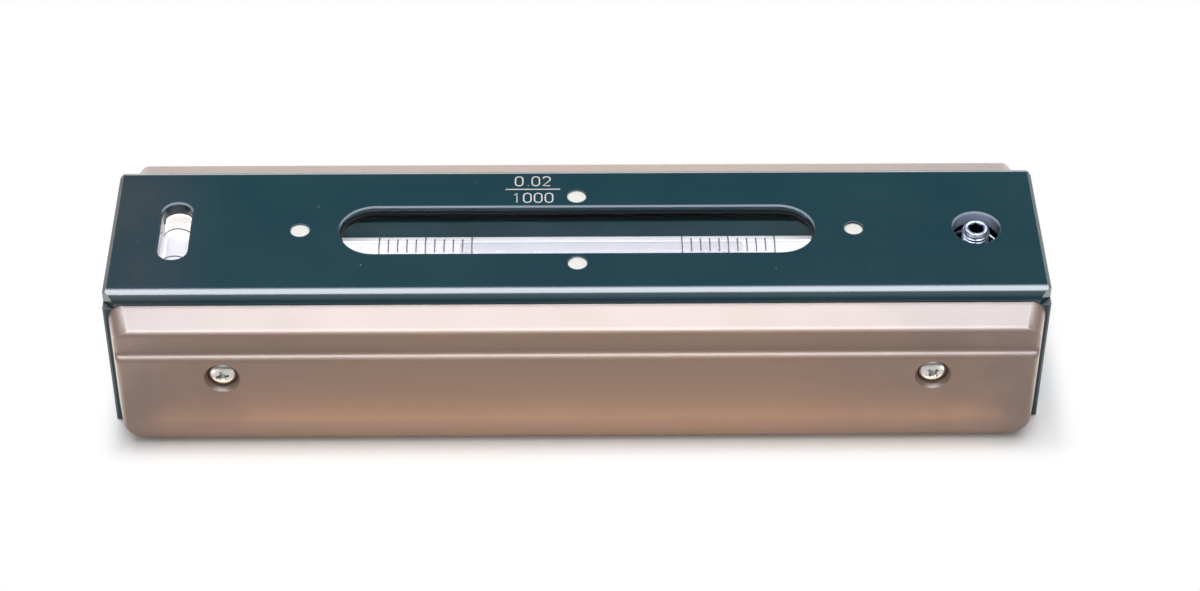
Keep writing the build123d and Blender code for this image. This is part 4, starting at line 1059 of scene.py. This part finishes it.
def dab(mesh, x, y, top, bottom):
    """One filling with a wavering edge."""
    phases = [random.uniform(0, math.tau) for _ in range(WAVES)]
    rings = []
    for share, drop in DAB_PROFILE:
        ring = []
        for step in range(DAB_STEPS):
            angle = math.tau * step / DAB_STEPS
            waver = sum(math.sin(angle * (k + 2) + phase) / (k + 2) for k, phase in enumerate(phases))
            radius = DAB_RADIUS * share * (MEAN_SHARE + WAVER_SHARE * waver)
            height = bottom
            if drop < 1:
                spot = Vector((math.cos(angle) * share * 2 + x / MM, math.sin(angle) * share * 2, 0))
                height = top - drop * DAB_SINK + noise.noise(spot) * LUMP
            ring.append(mesh.verts.new((x + radius * math.cos(angle), y + radius * math.sin(angle), height)))
        rings.append(ring)
    join_rings(mesh, rings)
    mesh.faces.new(rings[-1])
    mesh.faces.new(list(reversed(rings[0])))


low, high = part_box("cover_screw_fillings")
mesh = bmesh.new()
for x, y, sunk in ((low.x, 0, 0), (high.x, 0, LOW_DAB), (0, low.y, 0), (0, high.y, 0)):
    inset_x = DAB_RADIUS if x < 0 else -DAB_RADIUS if x > 0 else 0
    inset_y = DAB_RADIUS if y < 0 else -DAB_RADIUS if y > 0 else 0
    dab(mesh, x + inset_x, y + inset_y, high.z - BELOW_COVER - sunk, low.z)
finish_mesh(mesh, "white_dabs", finishes["white_filling"], "white_filling", "base", "cover_screw_fillings")

# %% [markdown]
# ## The figures on the cover
# A level says how far one division tilts it, as a slope. Here it reads as a plain fraction,
# two hundredths of a millimetre over a thousand. The strokes are engraved and filled with
# white, so each is a thin bead along a single line, half sunk into the cover.

# %% The figures
FIGURE_HEIGHT, FIGURE_WIDTH, FIGURE_STEP, POINT_STEP = 3.1 * MM, 1.6 * MM, 2.35 * MM, 0.55
STROKE, STROKE_FLATTENING, STROKE_SINK = 0.19 * MM, 0.15, 0.01 * MM
BAR_X, BAR_Y = (-15.5 * MM, -3.6 * MM), 13.45 * MM
UPPER_BASE, LOWER_BASE = 14.65 * MM, 9.0 * MM


def arc(cx, cy, rx, ry, start, end, steps=14):
    """Points along part of an ellipse, angles in degrees."""
    points = []
    for step in range(steps + 1):
        angle = math.radians(start + (end - start) * step / steps)
        points.append((cx + rx * math.cos(angle), cy + ry * math.sin(angle)))
    return points


STROKES = {
    "0": [arc(0.5, 0.72, 0.5, 0.28, 0, 180) + arc(0.5, 0.28, 0.5, 0.28, 180, 360) + [(1.0, 0.72)]],
    "1": [[(0.2, 0.8), (0.55, 1.0), (0.55, 0.0)]],
    "2": [arc(0.5, 0.72, 0.5, 0.28, 165, -35, 12) + [(0.0, 0.0), (1.0, 0.0)]],
    ".": [[(0.5, 0.0), (0.5, 0.05)]],
}


def write_line(curve, text, base):
    """Write figures in single strokes, centred over or under the bar."""
    steps = [POINT_STEP if mark == "." else 1.0 for mark in text]
    length = (sum(steps) - 1) * FIGURE_STEP + FIGURE_WIDTH
    x = (BAR_X[0] + BAR_X[1] - length) / 2
    for mark, step in zip(text, steps):
        width = FIGURE_WIDTH * step
        for stroke in STROKES[mark]:
            add_stroke(curve, [(x + px * width, base + py * FIGURE_HEIGHT) for px, py in stroke])
        x += FIGURE_STEP * step


def add_stroke(curve, points):
    """One stroke through its points."""
    spline = curve.splines.new("POLY")
    spline.points.add(len(points) - 1)
    for place, (x, y) in zip(spline.points, points):
        place.co = (x, y, 0, 1)


figures = bpy.data.curves.new("slope_figures", "CURVE")
figures.dimensions = "3D"
figures.bevel_depth = STROKE
figures.bevel_resolution = 2
figures.use_fill_caps = True
write_line(figures, "0.02", UPPER_BASE)
write_line(figures, "1000", LOWER_BASE)
add_stroke(figures, [(BAR_X[0], BAR_Y), (BAR_X[1], BAR_Y)])
slope_figures = add_object("slope_figures", figures)
slope_figures.location = (0, 0, COVER_TOP - STROKE_SINK)
slope_figures.scale = (1, 1, STROKE_FLATTENING)
figures.materials.append(finishes["white_filling"])
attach(slope_figures, "base")
print("strokes:", len(figures.splines))
